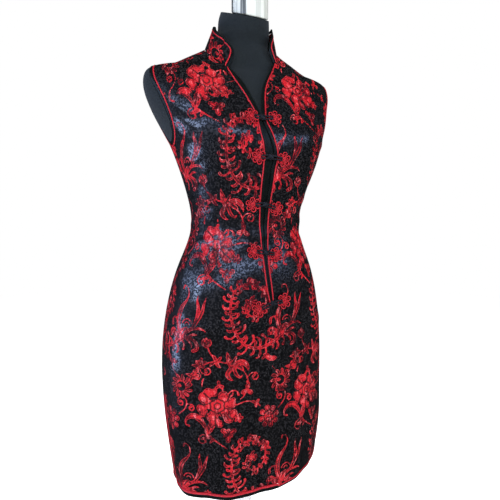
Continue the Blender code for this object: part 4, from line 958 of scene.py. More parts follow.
# %% [markdown]
# ## Laying the drawing on the cloth
# A weaver's pattern is flat, so each point of a panel needs its place on the flat cloth.
# Sideways that is the length of cloth from the centre line at the same height.  Above the
# chest the threads run straight on up and over the shoulder instead.  Each waist dart
# swallows some cloth, so the figures jump across it.

# %% From body to flat cloth
MAP_ANGLES = np.radians(np.linspace(0, 95, 400))
STRAIGHT_ABOVE = 0.735
MAP_RISES = np.linspace(0.0, STRAIGHT_ABOVE, 160)
DART_INTAKE, DART_MIDDLE, DART_REACH = 0.013, 0.492, 0.082
VEIN_SPREAD = 0.4                       # millimetres the woven inner lines swell by
BACK_SHIFT = (0.060, 0.130)             # the back is cut from another spot of the cloth
LEAN, LEAN_FROM, LEAN_LENGTH = 0.017, 0.45, 0.17   # the figures drift aside above the waist


def half_arcs(back):
    """Length of cloth from the centre line, by rise and turn."""
    turn = np.pi - MAP_ANGLES if back else MAP_ANGLES
    grid = surface(np.stack(np.meshgrid(turn, girth_at(MAP_RISES)), -1))
    step = np.linalg.norm(np.diff(grid, axis=1), axis=2)
    return np.concatenate([np.zeros((len(MAP_RISES), 1)), np.cumsum(step, 1)], 1), grid


ARCS = {back: half_arcs(back) for back in (False, True)}


def flat_place(places, back):
    """Metres across (to the right, seen from outside) and up on the flat cloth."""
    turn = places[..., 0] - (np.pi if back else 0)
    side = np.sign(turn)
    bent = np.abs(turn)
    rise = column("rise", places[..., 1])
    arcs, grid = ARCS[back]
    row = np.clip(rise / (MAP_RISES[1] - MAP_RISES[0]), 0, len(MAP_RISES) - 1.000001)
    col = np.clip(bent / (MAP_ANGLES[1] - MAP_ANGLES[0]), 0, len(MAP_ANGLES) - 1.001)
    across = between(lambda r, c: arcs[r, c], row, col)
    over = rise > STRAIGHT_ABOVE
    chest_x, chest_y = np.abs(grid[-1, :, 0]), grid[-1, :, 1]
    point = surface(places)
    x = np.minimum(np.abs(point[..., 0]), chest_x.max())
    straight = np.interp(x, chest_x, arcs[-1])
    level = np.interp(x, chest_x, chest_y)
    climbed = np.hypot(rise - STRAIGHT_ABOVE, point[..., 1] - level)
    across = np.where(over, straight, across)
    up = np.where(over, STRAIGHT_ABOVE + climbed, rise)
    dart_turn = np.radians(np.interp(rise, [r for _, r in WAIST_DART[::-1]],
                                     [a for a, _ in WAIST_DART[::-1]]))
    open_share = np.clip(1 - np.abs(rise - DART_MIDDLE) / DART_REACH, 0, 1)
    across = across + DART_INTAKE * open_share * (bent > dart_turn)
    return across * side, up


def drawn(places, back):
    """Millimetres inside a figure (positive) and inside its veins, at each place."""
    across, up = flat_place(places, back)
    shift = BACK_SHIFT if back else (0.0, 0.0)
    lean = np.clip((up - LEAN_FROM) / LEAN_LENGTH, 0, 1) * LEAN
    across, up = across + lean + shift[0], up + shift[1]
    return (-10 * read_tile(tile_figure, across, up),
            -10 * read_tile(tile_vein, across, up) + VEIN_SPREAD)


hip_side = np.array([LEFT_SIDE, girth_at(SLIT_TOP)])
print("centre front to side seam at the hip:", round(float(flat_place(hip_side, False)[0]), 3),
      "m of cloth")

# %% [markdown]
# ## Building meshes
# A cloth panel is a dense outer face and a coarser lining face, joined by a rim, so it is a
# closed thin shell.  Trims and cords are tubes swept along lines on the surface.

# %% Pieces
GLOSS_EDGE = np.radians(50)


def new_piece(name, points, faces, finish, slot, replaces, attributes=None, sharp=None):
    """Smooth mesh that rides on the root, with its finish and the nodes it replaces; slot is not
    used.
    """
    mesh = bpy.data.meshes.new(name)
    mesh.from_pydata(np.asarray(points).tolist(), [], faces)
    mesh.shade_smooth()
    if sharp is not None:
        mesh.set_sharp_from_angle(angle=sharp)
    for key, values in (attributes or {}).items():
        mesh.attributes.new(key, "FLOAT", "POINT").data.foreach_set(
            "value", np.asarray(values, np.float32).ravel())
    mesh.materials.append(finish)
    mesh.update()
    made = bpy.data.objects.new(name, mesh)
    scene.collection.objects.link(made)
    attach(made, "root")
    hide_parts(*replaces)
    return made


print("an edge sharper than", round(float(np.degrees(GLOSS_EDGE))), "degrees stays crisp")

# %% Patches
LINING_STEP = 6


def resampled(line, run, cells):
    """A line of pairs at even steps of its run, the distance travelled along it."""
    at = np.linspace(0, run[-1], cells + 1)
    return np.stack([np.interp(at, run, line[:, k]) for k in (0, 1)], -1)


def even(line, cells):
    """A line of places at even steps over the cloth."""
    return resampled(line, travelled(surface(line)), cells)


def by_parts(first, *others):
    """One line from several, each given as (line, cells), joined end to end."""
    out = even(*first)
    for line, cells in others:
        out = np.concatenate([out, even(np.concatenate([out[-1:], line]), cells)[1:]])
    return out


def coons(bottom, top, left, right):
    """Fill four edge lines of places with a grid; rows run from bottom to top."""
    u = np.linspace(0, 1, len(bottom))[None, :, None]
    v = np.linspace(0, 1, len(left))[:, None, None]
    corners = ((1 - u) * (1 - v) * bottom[0] + u * (1 - v) * bottom[-1]
               + (1 - u) * v * top[0] + u * v * top[-1])
    return ((1 - v) * bottom[None] + v * top[None] + (1 - u) * left[:, None]
            + u * right[:, None] - corners)


def ticks(cells, step=LINING_STEP):
    """Grid lines of a patch that its lining keeps."""
    return sorted(set(range(0, cells + 1, step)) | {cells})


print("the lining keeps one grid line in", LINING_STEP)

# %% Thin shells
SAME_POINT = 4e-6


def shell(grids, kept, points_of, normals_of, thickness):
    """Closed thin shell over patches of places, dense outside and coarse inside."""
    flat = np.concatenate([g.reshape(-1, g.shape[-1]) for g in grids])
    outer = np.concatenate([points_of(g).reshape(-1, 3) for g in grids])
    keys = np.round(outer / SAME_POINT).astype(np.int64)
    _, first, index = np.unique(keys, axis=0, return_index=True, return_inverse=True)
    index = index.ravel()
    places = flat[first]
    outer = outer[first]
    ids, start = [], 0
    for g in grids:
        size = g.shape[0] * g.shape[1]
        ids.append(index[start:start + size].reshape(g.shape[:2]))
        start += size
    quads = np.concatenate([np.stack([i[:-1, :-1], i[:-1, 1:], i[1:, 1:], i[1:, :-1]],
                                     -1).reshape(-1, 4) for i in ids])
    edges = np.concatenate([quads[:, [k, (k + 1) % 4]] for k in range(4)])
    edges = edges[edges[:, 0] != edges[:, 1]]
    both = np.sort(edges, 1)
    _, which, uses = np.unique(both, axis=0, return_inverse=True, return_counts=True)
    rim_edges = edges[uses[which.ravel()] == 1]
    on_rim = np.zeros(len(outer), bool)
    on_rim[rim_edges] = True
    rim_set = {(min(a, b), max(a, b)) for a, b in rim_edges.tolist()}
    coarse = np.zeros(len(outer), bool)
    for i, (rows, cols) in zip(ids, kept):
        coarse[i[np.ix_(rows, cols)]] = True
    inside = np.flatnonzero(coarse | on_rim)
    new_index = np.full(len(outer), -1)
    new_index[inside] = len(outer) + np.arange(len(inside))
    out = normals_of(places)
    points = np.concatenate([outer, outer[inside] - out[inside] * thickness])
    faces = [[v for k, v in enumerate(face) if v != face[k - 1]] for face in quads.tolist()]
    faces += [[b, a, int(new_index[a]), int(new_index[b])] for a, b in rim_edges.tolist()]

    def walk(line):
        """Corners along one side of a coarse cell, with the rim's own points between."""
        line = line.tolist()
        held = [line[0]]
        for a, b in zip(line[:-1], line[1:]):
            if (min(a, b), max(a, b)) in rim_set and b != line[-1]:
                held.append(b)
        return held

    for i, (rows, cols) in zip(ids, kept):
        for r0, r1 in zip(rows[:-1], rows[1:]):
            for c0, c1 in zip(cols[:-1], cols[1:]):
                loop = (walk(i[r0, c0:c1 + 1]) + walk(i[r0:r1 + 1, c1])
                        + walk(i[r1, c0:c1 + 1][::-1]) + walk(i[r0:r1 + 1, c0][::-1]))
                loop = [int(new_index[v]) for k, v in enumerate(loop) if v != loop[k - 1]]
                if len(set(loop)) >= 3:
                    faces.append(loop[::-1])
    return points, faces, np.concatenate([places, places[inside]])


print("points closer than", SAME_POINT * 1e6, "micrometres become one")

# %% Tubes
def tube(lines, closed=False):
    """Skin swept through cross-sections: lines has a row per station, a column per side."""
    stations, sides = lines.shape[:2]
    points = lines.reshape(-1, 3)
    faces = []
    for k in range(stations if closed else stations - 1):
        base, after = k * sides, (k + 1) % stations * sides
        for s in range(sides):
            t = (s + 1) % sides
            faces.append([base + s, base + t, after + t, after + s])
    if not closed:
        faces.append(list(range(sides))[::-1])
        faces.append(list(range(len(points) - sides, len(points))))
    return points, faces


def facing_out(points, faces):
    """Turn all faces if the closed skin is inside out."""
    volume = 0.0
    for face in faces:
        a = points[face[0]]
        for i in range(1, len(face) - 1):
            volume += np.dot(a, np.cross(points[face[i]], points[face[i + 1]]))
    return [face[::-1] for face in faces] if volume < 0 else faces


def skin(sections, closed=False):
    """Tube through cross-sections with its faces turned outward."""
    points, faces = tube(sections, closed)
    return points, facing_out(points, faces)


def joined(parts):
    """Several (points, faces) skins as one."""
    points, faces, start = [], [], 0
    for p, f in parts:
        points.append(p)
        faces += [[v + start for v in face] for face in f]
        start += len(p)
    return np.concatenate(points), faces


print("faces of a four-sided tube through three stations:", len(tube(np.zeros((3, 4, 3)))[1]))

# %% [markdown]
# ## Satin brocade
# Satin threads float on the cloth's face, so the black ground has a cold shine.  It comes
# from a clear coat whose weight changes over the cloth: it lies in soft patches, broken up
# by the weave.  The red figures are woven a little proud of the ground, in several reds that
# mix over a few millimetres, and their inner lines stay dark.  Pink glints over the red, in
# random streaks, are painted highlight.

# %% Brocade finish
BLACK, COLD_BLACK = (0.0024, 0.0025, 0.0028), (0.0160, 0.0152, 0.0170)
# the brightest red is a painted highlight colour
RED, DEEP_RED, HIGHLIGHT_RED = (0.50, 0.012, 0.020), (0.046, 0.002, 0.005), (0.86, 0.170, 0.190)


def brocade_finish():
    """Black ground and red figures; depth is in millimetres inside a figure, with a worn edge."""
    b = Finish("brocade", Specular_IOR_Level=0.09, Coat_Roughness=0.20, Coat_IOR=1.75)
    ragged = b.noise(420.0, 2.0)
    depth = b.attribute("figure") + 1.6 * (ragged - 0.5)
    inside = b.smooth(depth, 0.10, 0.60)
    vein = b.smooth(b.attribute("vein"), -0.55, 0.35)
    red = inside * (1 - 0.85 * vein)
    region, patches = b.noise(13.0, 1.0), b.noise(70.0, 3.0)
    shine = b.noise(17.0, 2.5, stretch=(1, 1, 1.5))
    glint_run = b.noise(210.0, 2.0, stretch=(1, 1, 0.40))
    fleck, grain, speckle = b.noise(400.0, 2.0), b.noise(310.0, 1.5), b.noise(900.0, 0.0)
    ground = b.mix(b.smooth(grain, 0.46, 0.66), BLACK, COLD_BLACK)
    # partly painted shade: the red is lighter deep inside a figure, as if it were rounded, and
    # lighter again near its edge
    body = b.smooth(depth, 2.3, 3.4) + b.smooth(depth, 0.9, 1.9, 1.0, 0.0)
    share = (0.26 * b.smooth(patches, 0.40, 0.60) + 0.22 * b.smooth(fleck, 0.40, 0.60)
             + 0.30 * body + 0.22 * b.smooth(region, 0.40, 0.60))
    warm = b.mix(b.smooth(share, 0.34, 0.82), DEEP_RED, RED)
    # painted highlight: pink-white glints on the red threads, in random streaks, strongest where
    # the red is lighter
    light = b.smooth(glint_run, 0.54, 0.68) * b.smooth(speckle, 0.30, 0.62)
    threads = b.mix(light * (0.30 + 0.50 * body), warm, HIGHLIGHT_RED)
    rough = 0.42 + 0.20 * b.smooth(grain, 0.34, 0.66)
    floated = ((0.05 + 0.95 * b.smooth(shine, 0.42, 0.62))
               * (0.14 + 0.86 * b.smooth(grain, 0.44, 0.60)))
    weave = b.bump(speckle, 0.0005, 0.45)
    raised = b.bump(b.smooth(depth, -0.5, 0.9), 0.0005, 0.8, weave)
    return b.feed(Base_Color=b.mix(red, ground, threads), Roughness=rough,
                  Coat_Weight=floated * (1 - 0.72 * red), Normal=raised)


brocade = brocade_finish()
print("brocade nodes:", len(brocade.node_tree.nodes))

# %% [markdown]
# ## Tapes and cords
# The bindings are cut from plain black satin, and the piping and the frogs are cords of
# twisted silk.  All get one recipe: a fine grain of threads that changes the colour, the
# roughness and the bump together.  The frog's red cord also has painted shade: its colour
# goes near black where its surface turns away from the front, which darkens the gaps between
# its turns.

# %% Plain satin and cord finishes
def plain_satin(name, dark, light, rough, scale, gloss):
    """Cord, tape or plain satin: fine thread grain over one colour."""
    s = Finish(name, Specular_IOR_Level=gloss)
    grain, patches = s.noise(scale, 1.0), s.noise(60.0, 2.0)
    shade = s.mix(s.smooth(grain, 0.30, 0.72), dark, light)
    worn = s.mix(s.smooth(patches, 0.35, 0.65) * 0.35, shade, dark)
    return s.feed(Base_Color=worn, Roughness=rough + 0.16 * grain,
                  Normal=s.bump(grain, 0.0004, 0.6))


black_satin = plain_satin("black_satin", (0.002, 0.003, 0.003), (0.006, 0.009, 0.008), 0.26,
                          700.0, 0.16)
red_piping = plain_satin("red_piping", (0.34, 0.007, 0.016), (0.58, 0.020, 0.034), 0.34,
                         800.0, 0.25)


def wound_cord():
    """Red satin cord with painted shade: bright where it faces the front, near black where it turns
    away.
    """
    w = Finish("red_cord", Specular_IOR_Level=0.26)
    normal = w.node("ShaderNodeNewGeometry", {}, out="Normal")
    depth = w.node("ShaderNodeSeparateXYZ", {0: normal}, out="Y")
    twist = w.noise(650.0, 1.0)
    # painted shade: the colour goes near black where the cord's surface faces away from the front
    # (-Y)
    crown = w.smooth(0 - depth, 0.50, 1.00)
    shade = w.mix(w.smooth(twist, 0.30, 0.72), (0.26, 0.004, 0.009), (0.68, 0.022, 0.034))
    return w.feed(Base_Color=w.mix(crown, (0.030, 0.001, 0.003), shade),
                  Roughness=0.30 + 0.16 * twist, Normal=w.bump(twist, 0.0004, 0.6))


red_cord = wound_cord()
black_cord = plain_satin("black_cord", (0.004, 0.004, 0.005), (0.012, 0.013, 0.016), 0.30,
                         650.0, 0.45)
print("finishes made:", len(bpy.data.materials))

# %% [markdown]
# ## Front and back panels
# Each panel is cut to its own edge lines: hem and slits below, side seams, armholes and
# neckline above, and for the front the slash that parts it into two leaves.

# %% Seam lines
def seam(angle, way, low_rise, high_rise, count=120):
    girth = np.linspace(girth_at(low_rise), girth_at(high_rise), count)
    return np.stack([angle + way * seam_angle(girth, GAP / 2), girth], -1)


def kept_clear(line, angle, way):
    """Keep a line at least half a gap to one side of a seam's angle."""
    limit = angle + way * seam_angle(line[:, 1], GAP / 2)
    held = np.maximum(line[:, 0], limit) if way > 0 else np.minimum(line[:, 0], limit)
    return np.stack([held, line[:, 1]], -1)


def neck_edge(first_angle, last_angle, count=80):
    line = neckline(np.linspace(first_angle, last_angle, count))
    return moved(line, np.zeros(count), np.full(count, -NECK_SEAM_GAP))


SLIT_STAY = 0.003                       # from the slit's top to where the seam's line starts
SEAM_START, UNDER_ARM = SLIT_TOP + SLIT_STAY, ARMHOLE_LOW - UNDERARM_DROP
FRONT_SEAM_RISE = SLASH_FOOT - GAP
MIDDLE_OF_ARC = SLIT_SAMPLES + ARC_SAMPLES // 2
print("side seam", round(length_of(seam(LEFT_SIDE, -1, SEAM_START, UNDER_ARM)), 3), "m long")

# %% Grids of the front
HALF = 114                              # cells across half a panel
LOW_ROWS, SEAM_ROWS, HOLE_ROWS = 168, 140, 94
NECK_START_TURN = 1.2                   # degrees from a front edge to the neck's first point
SPLIT_RISE = 0.6235                     # a leaf's inner side changes its rows here
EDGE_SHARE = 0.55                       # share of the upper rows on the edge, the rest on the neck


def front_grids():
    """Patches of the front: the closed skirt, then a leaf at each side of the slash."""
    cloth = front_skirt[-1]
    right_low, left_low = cloth[MIDDLE_OF_ARC::-1], cloth[-MIDDLE_OF_ARC - 1:]
    right_seam = seam(RIGHT_SIDE, 1, SEAM_START, FRONT_SEAM_RISE)
    left_seam = seam(LEFT_SIDE, -1, SEAM_START, FRONT_SEAM_RISE)
    foot = {side: np.array([fronts[side][-1][0, 0], girth_at(FRONT_SEAM_RISE)])
            for side in (-1, 1)}
    right_waist = np.linspace(right_seam[-1], foot[-1], HALF + 1)
    left_waist = np.linspace(foot[1], left_seam[-1], HALF + 1)
    top = np.concatenate([right_waist, left_waist])
    hem = even(cloth[MIDDLE_OF_ARC:len(cloth) - MIDDLE_OF_ARC], 2 * HALF + 1)
    lower = coons(hem, top, even(np.concatenate([right_low, right_seam]), LOW_ROWS),
                  even(np.concatenate([left_low, left_seam]), LOW_ROWS))
    grids = [lower]
    kept = [(ticks(LOW_ROWS), ticks(HALF) + [HALF + 1 + t for t in ticks(HALF)])]
    for side, waist in ((-1, right_waist), (1, left_waist)):
        angle = side * LEFT_SIDE
        hole = kept_clear(holes[side][-1][:HOLE_SAMPLES], angle, -side)
        outer = by_parts((seam(angle, -side, FRONT_SEAM_RISE, UNDER_ARM), SEAM_ROWS),
                         (hole, HOLE_ROWS))
        edge = fronts[side][-1]
        start = np.degrees(edge[-1, 0]) + side * NECK_START_TURN
        neck = neck_edge(start + 360, 270) - [2 * np.pi, 0] if side < 0 else neck_edge(start, 90)
        neck = kept_clear(neck, angle, -side)
        split = int(np.searchsorted(OPENING_RISES, SPLIT_RISE))
        first = np.concatenate([foot[side][None], edge[1:split]])
        upper = int(HOLE_ROWS * EDGE_SHARE)
        inner = by_parts((first, SEAM_ROWS), (edge[split:], upper), (neck, HOLE_ROWS - upper))
        shoulder = np.linspace(outer[-1], neck[-1], HALF + 1)
        shoulder[:, 0] = angle - side * seam_angle(shoulder[:, 1], GAP / 2)
        outer[-1], inner[-1] = shoulder[0], shoulder[-1]
        outer[0], inner[0] = (waist[0], waist[-1]) if side < 0 else (waist[-1], waist[0])
        if side < 0:
            grids.append(coons(waist, shoulder, outer, inner))
        else:
            grids.append(coons(waist, shoulder[::-1], inner, outer))
        kept.append((ticks(len(outer) - 1), ticks(HALF)))
    return grids, kept


print("front rows:", LOW_ROWS + SEAM_ROWS + HOLE_ROWS)

# %% Grids of the back
BACK_ROWS = 400
BACK_LOW_SHARE, BACK_SEAM_SHARE, BACK_NECK_SHARE = 0.225, 0.54, 0.42
CHEST_DROP = 0.025                      # the spine's lower rows end this far under the armhole


def spine_line(low, high, count):
    """Line of places up the middle of the back, between two girths."""
    return np.stack([np.full(count, np.pi), np.linspace(low, high, count)], -1)


def back_grids():
    """Patches of the back: the wearer's left half, then the right."""
    cloth = back_skirt[-1]
    hem = cloth[MIDDLE_OF_ARC:len(cloth) - MIDDLE_OF_ARC].copy()
    middle = len(hem) // 2
    spine_foot = np.array([[np.pi, 0.5 * (hem[middle - 1, 1] + hem[middle + 1, 1])]])
    low_rows, seam_rows = int(BACK_ROWS * BACK_LOW_SHARE), int(BACK_ROWS * BACK_SEAM_SHARE)
    hole_rows = BACK_ROWS - low_rows - seam_rows
    neck_rows = int(hole_rows * BACK_NECK_SHARE)
    chest, nape = girth_at(ARMHOLE_LOW - CHEST_DROP), neck_edge(180, 179, 4)[0, 1]
    grids, kept = [], []
    for side, low, angle in ((1, cloth[MIDDLE_OF_ARC::-1], LEFT_SIDE),
                             (-1, cloth[-MIDDLE_OF_ARC - 1:], 3 * LEFT_SIDE)):
        back_half = holes[side][-1][HOLE_SAMPLES - 1:][::-1]
        if side < 0:
            back_half = back_half + [2 * np.pi, 0]
        outer = by_parts((low, low_rows), (seam(angle, side, SEAM_START, UNDER_ARM), seam_rows),
                         (kept_clear(back_half, angle, side), hole_rows))
        neck = kept_clear(neck_edge(180, np.degrees(angle)), angle, side)
        inner = by_parts((spine_line(spine_foot[0, 1], chest, 200), low_rows + seam_rows),
                         (spine_line(chest, nape, 60)[1:], hole_rows - neck_rows),
                         (neck[1:], neck_rows))
        half = hem[:middle] if side > 0 else hem[middle + 1:]
        half = (np.concatenate([half, spine_foot]) if side > 0
                else np.concatenate([spine_foot, half]))
        bottom = even(half, HALF)
        shoulder = np.linspace(outer[-1], neck[-1], HALF + 1)
        shoulder[:, 0] = angle + side * seam_angle(shoulder[:, 1], GAP / 2)
        outer[-1], inner[-1] = shoulder[0], shoulder[-1]
        if side > 0:
            outer[0], inner[0] = bottom[0], bottom[-1]
            grids.append(coons(bottom, shoulder, outer, inner))
        else:
            outer[0], inner[0] = bottom[-1], bottom[0]
            grids.append(coons(bottom, shoulder[::-1], inner, outer))
        kept.append((ticks(BACK_ROWS), ticks(HALF)))
    return grids, kept


print("back rows:", BACK_ROWS)

# %% The two panels
def panel(name, grids, kept, node, back):
    """Cloth panel that carries its drawing in two attributes."""
    points, faces, places = shell(grids, kept, lifted, outward, CLOTH)
    figure, vein = drawn(places, back)
    made = new_piece(name, points, faces, brocade, "brocade", (node,),
                     {"figure": figure, "vein": vein}, sharp=GLOSS_EDGE)
    print(name, "faces:", len(faces))
    return made


front = panel("brocade_front", *front_grids(), "front_panel", False)
back = panel("brocade_back", *back_grids(), "back_panel", True)

# %% [markdown]
# ## Bindings and pipings
# A bias binding is a tape folded over the raw edge, so its outside is gently crowned and
# its fold is round.  The piping inside it is a thin cord in red satin.  Both are swept: one
# cross-section is set up at each point of the edge, and faces join each to the next.

# %% Cross-sections of tapes and cords
PIPING_SINK, PIPING_SIDES = 0.0003, 8
PIPING_PRESS = 0.0001                   # the cord is a little thicker than its lane
PIPING_RADIUS = PIPING_WIDTH / 2 + PIPING_PRESS
HEM_CROWN, ARMHOLE_CROWN, FRONT_CROWN, COLLAR_CROWN = 0.34, 0.40, 0.36, 0.30


def tape_sections(first, second, thickness, crown, point_of=lifted):
    """Cross-sections of a folded tape between two lines; the first line is its fold."""
    profile = (                          # share of the width, height in thicknesses
        (0.00, -0.50), (0.03, -0.16), (0.12, 0.10), (0.35, crown), (0.65, crown), (0.90, 0.20),
        (1.00, -0.12), (1.00, -0.90), (0.60, -1.05), (0.12, -1.05), (0.03, -0.84))
    return np.stack([point_of(first + (second - first) * share, thickness * height)
                     for share, height in profile], 1)


def cord_sections(first, second, radius, point_of=lifted):
    """Cross-sections of a round cord that lies between two lines."""
    middle = first + (second - first) / 2
    out = unit(point_of(middle, 1e-3) - point_of(middle, 0.0))
    side = unit(point_of(second, 0.0) - point_of(first, 0.0))
    centre = point_of(middle, -PIPING_SINK)
    turns = 2 * np.pi * np.arange(PIPING_SIDES) / PIPING_SIDES
    return np.stack([centre + radius[:, None] * (side * np.cos(t) + out * np.sin(t))
                     for t in turns], 1)


print("piping", PIPING_RADIUS * 2000, "mm thick")

# %% Trims of the panels
trims = {"front": [], "back": []}


def add_trim(owner, name, node, slot, finish, sections, closed=False):
    made = new_piece(name, *skin(sections, closed), finish, slot, (node,))
    trims[owner].append(made)


def edge_trims(owner, edge, side_name, lines, crown, radius=None, closed=False):
    """The folded tape and the round cord that run along one edge."""
    if closed:
        lines = [line[:-1] for line in lines]
    if radius is None:
        radius = np.full(len(lines[2]), PIPING_RADIUS)
    add_trim(owner, edge + "_tape_" + side_name, edge + "_binding_" + side_name, "black_satin",
             black_satin, tape_sections(lines[0], lines[1], CLOTH, crown), closed)
    add_trim(owner, edge + "_cord_" + side_name, edge + "_piping_" + side_name, "red_piping",
             red_piping, cord_sections(lines[2], lines[3], radius), closed)


for side_name, lines in (("front", front_skirt), ("back", back_skirt)):
    width = np.linalg.norm(surface(lines[3]) - surface(lines[2]), axis=1)
    edge_trims(side_name, "hem", side_name, lines, HEM_CROWN, width / 2 + PIPING_PRESS)
for side_name, side in (("right", -1), ("left", 1)):
    edge_trims("front", "armhole", side_name, holes[side], ARMHOLE_CROWN, closed=True)
    edge_trims("front", "front", side_name, fronts[side], FRONT_CROWN)
print("trims made:", len(trims["front"]) + len(trims["back"]))

# %% [markdown]
# ## Underlap
# A narrow strip of black satin hangs behind the slash, up to where its edges part, so that
# no form shows between them.  It is a thin shell like the panels, set a little deeper.

# %% Strip behind the slash
UNDERLAP_TOP, UNDERLAP_HALF_WIDTH, UNDERLAP_CELLS = 0.705, 0.013, 8
UNDERLAP_DEPTH = CLOTH + 2.4 * GAP
low_part = OPENING_RISES[OPENING_RISES < UNDERLAP_TOP]


def middle_x(rises):
    """Sideways position halfway between the two front edges."""
    return sum(spline([row.rise for row in rows], [row.edge_x for row in rows], rises)
               for rows in (RIGHT_EDGE, LEFT_EDGE)) / 2


shifts = np.linspace(-UNDERLAP_HALF_WIDTH, UNDERLAP_HALF_WIDTH, UNDERLAP_CELLS + 1)
under_grid = np.stack([place_at_x(middle_x(low_part) + shift, low_part) for shift in shifts], 1)
points, faces, _ = shell([under_grid], [(ticks(len(low_part) - 1), ticks(UNDERLAP_CELLS, 2))],
                         lambda p: lifted(p, -UNDERLAP_DEPTH), outward, UNDERLAP_CLOTH)
underlap = new_piece("underlap_satin", points, faces, black_satin, "black_satin",
                     ("underlap",), sharp=GLOSS_EDGE)
print("underlap faces:", len(faces))

# %% [markdown]
# ## Stand collar
# The collar is a stiffened band that leans in over the shoulders and ends in a round at
# each side of the V.  It has its own frame: how far along the neck seam, and how high.

# %% Collar frame
COLLAR_NEAR_LEAN, COLLAR_FAR_LEAN, COLLAR_FRONT_LEAN = 23.0, 12.5, 5.0
COLLAR_MIDDLE = (-0.0080, -0.0040)
COLLAR_END = ((0.000, 0.000), (0.0075, 0.0030), (0.0180, 0.0065), (0.0300, 0.0090),
              (0.0400, 0.0062), (0.0470, -0.0030), (0.0495, -0.0150),
              (0.0500, -0.0300))   # height, forward
COLLAR_LEFT_ANGLE, COLLAR_RIGHT_ANGLE = 19.5, 342.8
COLLAR_ANGLES = np.linspace(-7, 361, 2945)
COLLAR_BASE = surface(neckline(COLLAR_ANGLES))
COLLAR_RUN = travelled(COLLAR_BASE)
COLLAR_START = np.interp(COLLAR_LEFT_ANGLE, COLLAR_ANGLES, COLLAR_RUN)
COLLAR_LENGTH = np.interp(COLLAR_RIGHT_ANGLE, COLLAR_ANGLES, COLLAR_RUN) - COLLAR_START
UPRIGHT = np.array([0.0, 0.0, 1.0])


def collar_frame(spot):
    """Seam point, upward direction and outward direction of the collar."""
    run = spot[..., 0] + COLLAR_START
    base = np.stack([np.interp(run, COLLAR_RUN, COLLAR_BASE[:, k]) for k in range(3)], -1)
    inward = unit(np.stack([COLLAR_MIDDLE[0] - base[..., 0], COLLAR_MIDDLE[1] - base[..., 1],
                            np.zeros_like(run)], -1))
    across = inward[..., :1]
    side_lean = np.where(across > 0, COLLAR_NEAR_LEAN, COLLAR_FAR_LEAN)
    lean = np.radians(COLLAR_FRONT_LEAN + (side_lean - COLLAR_FRONT_LEAN) * across ** 2)
    return (base, inward * np.sin(lean) + UPRIGHT * np.cos(lean),
            UPRIGHT * np.sin(lean) - inward * np.cos(lean))


def on_collar(spots, lift=0.0):
    """Points at metres along and up the collar, a lift above its outer face."""
    base, rise, normal = collar_frame(spots)
    return base + rise * spots[..., 1:2] + normal * lift


print("neck seam", round(float(COLLAR_LENGTH), 3), "m long")

# %% Collar outline
def even_flat(line, cells):
    """A flat line at even steps."""
    return resampled(line, travelled(line), cells)


def collar_outline(cells):
    """Evenly spaced outline of the collar, up one end, along the top and down the other."""
    height, forward = np.array(COLLAR_END).T
    t = np.linspace(0, len(height) - 1, 40)
    h = spline(range(len(height)), height, t) + GAP
    f = spline(range(len(height)), forward, t)
    line = np.concatenate([np.stack([-f, h], -1),
                           np.stack([COLLAR_LENGTH + f, h], -1)[::-1]])
    return even_flat(line, cells)


def collar_inside(outline, distance):
    """The outline moved inward, its two feet kept on the neck seam."""
    ahead = unit(np.gradient(outline, axis=0))
    line = outline + np.stack([ahead[:, 1], -ahead[:, 0]], -1) * distance
    line[0, 1] = line[-1, 1] = GAP
    return line


collar_edge = collar_outline(299)
collar_gap = 1.8 * GAP
reaches = (0.0, COLLAR_BINDING, COLLAR_BINDING + collar_gap,
           COLLAR_BINDING + collar_gap + PIPING_WIDTH,
           COLLAR_BINDING + 2 * collar_gap + PIPING_WIDTH)
edge, bind, pipe_in, pipe_out, cloth = [collar_inside(collar_edge, r) for r in reaches]
print("collar outline", round(float(travelled(edge)[-1]), 3), "m long")

# %% Collar pieces
COLLAR_CELLS, COLLAR_ROWS = 360, 42
LEVEL_WITHIN = 0.0002                   # this close to the top, the outline counts as level
COLLAR_MOTIF = (0.185, 0.205)           # metres across and up on the tile, at the left end
COLLAR_THIN = 0.35                      # millimetres that its figures are slimmer
ends = int(np.argmax(cloth[:, 1] > cloth[:, 1].max() - LEVEL_WITHIN))
left_end, right_end = cloth[:ends + 1], cloth[-ends - 1:][::-1]
collar_top = even_flat(cloth[ends:len(cloth) - ends], COLLAR_CELLS)
collar_foot = np.stack([np.linspace(left_end[0, 0], right_end[0, 0], COLLAR_CELLS + 1),
                        np.full(COLLAR_CELLS + 1, GAP)], -1)
collar_grid = coons(collar_foot, collar_top, even_flat(left_end, COLLAR_ROWS),
                    even_flat(right_end, COLLAR_ROWS))
points, faces, spots = shell([collar_grid], [(ticks(COLLAR_ROWS), ticks(COLLAR_CELLS))],
                             on_collar, lambda s: collar_frame(s)[2], COLLAR_CLOTH)
across, up = COLLAR_MOTIF[0] - spots[:, 0], COLLAR_MOTIF[1] + spots[:, 1]
figure = -10 * read_tile(tile_figure, across, up) - COLLAR_THIN
vein = -10 * read_tile(tile_vein, across, up)
collar = new_piece("collar_brocade", points, faces, brocade, "brocade", ("collar",),
                   {"figure": figure, "vein": vein}, sharp=GLOSS_EDGE)
collar_tape = new_piece(
    "collar_tape", *skin(tape_sections(edge, bind, COLLAR_CLOTH, COLLAR_CROWN, on_collar)),
    black_satin, "black_satin", ("collar_binding",))
collar_cord = new_piece(
    "collar_cord", *skin(cord_sections(pipe_in, pipe_out,
                                       np.full(len(pipe_in), PIPING_RADIUS), on_collar)),
    red_piping, "red_piping", ("collar_piping",))
print("collar faces:", len(faces))

# %% [markdown]
# ## Frog buttons
# Each frog is a satin cord looped into a flower at either side, with a ball knot between
# them on double cords.  A flower is six looped petals, each over a small pad, round a coiled
# eye.  The knot is one cord woven round a core.  Petals, eye and double cords are round
# cords swept along lines that are first drawn on the cloth, so they follow its curve.

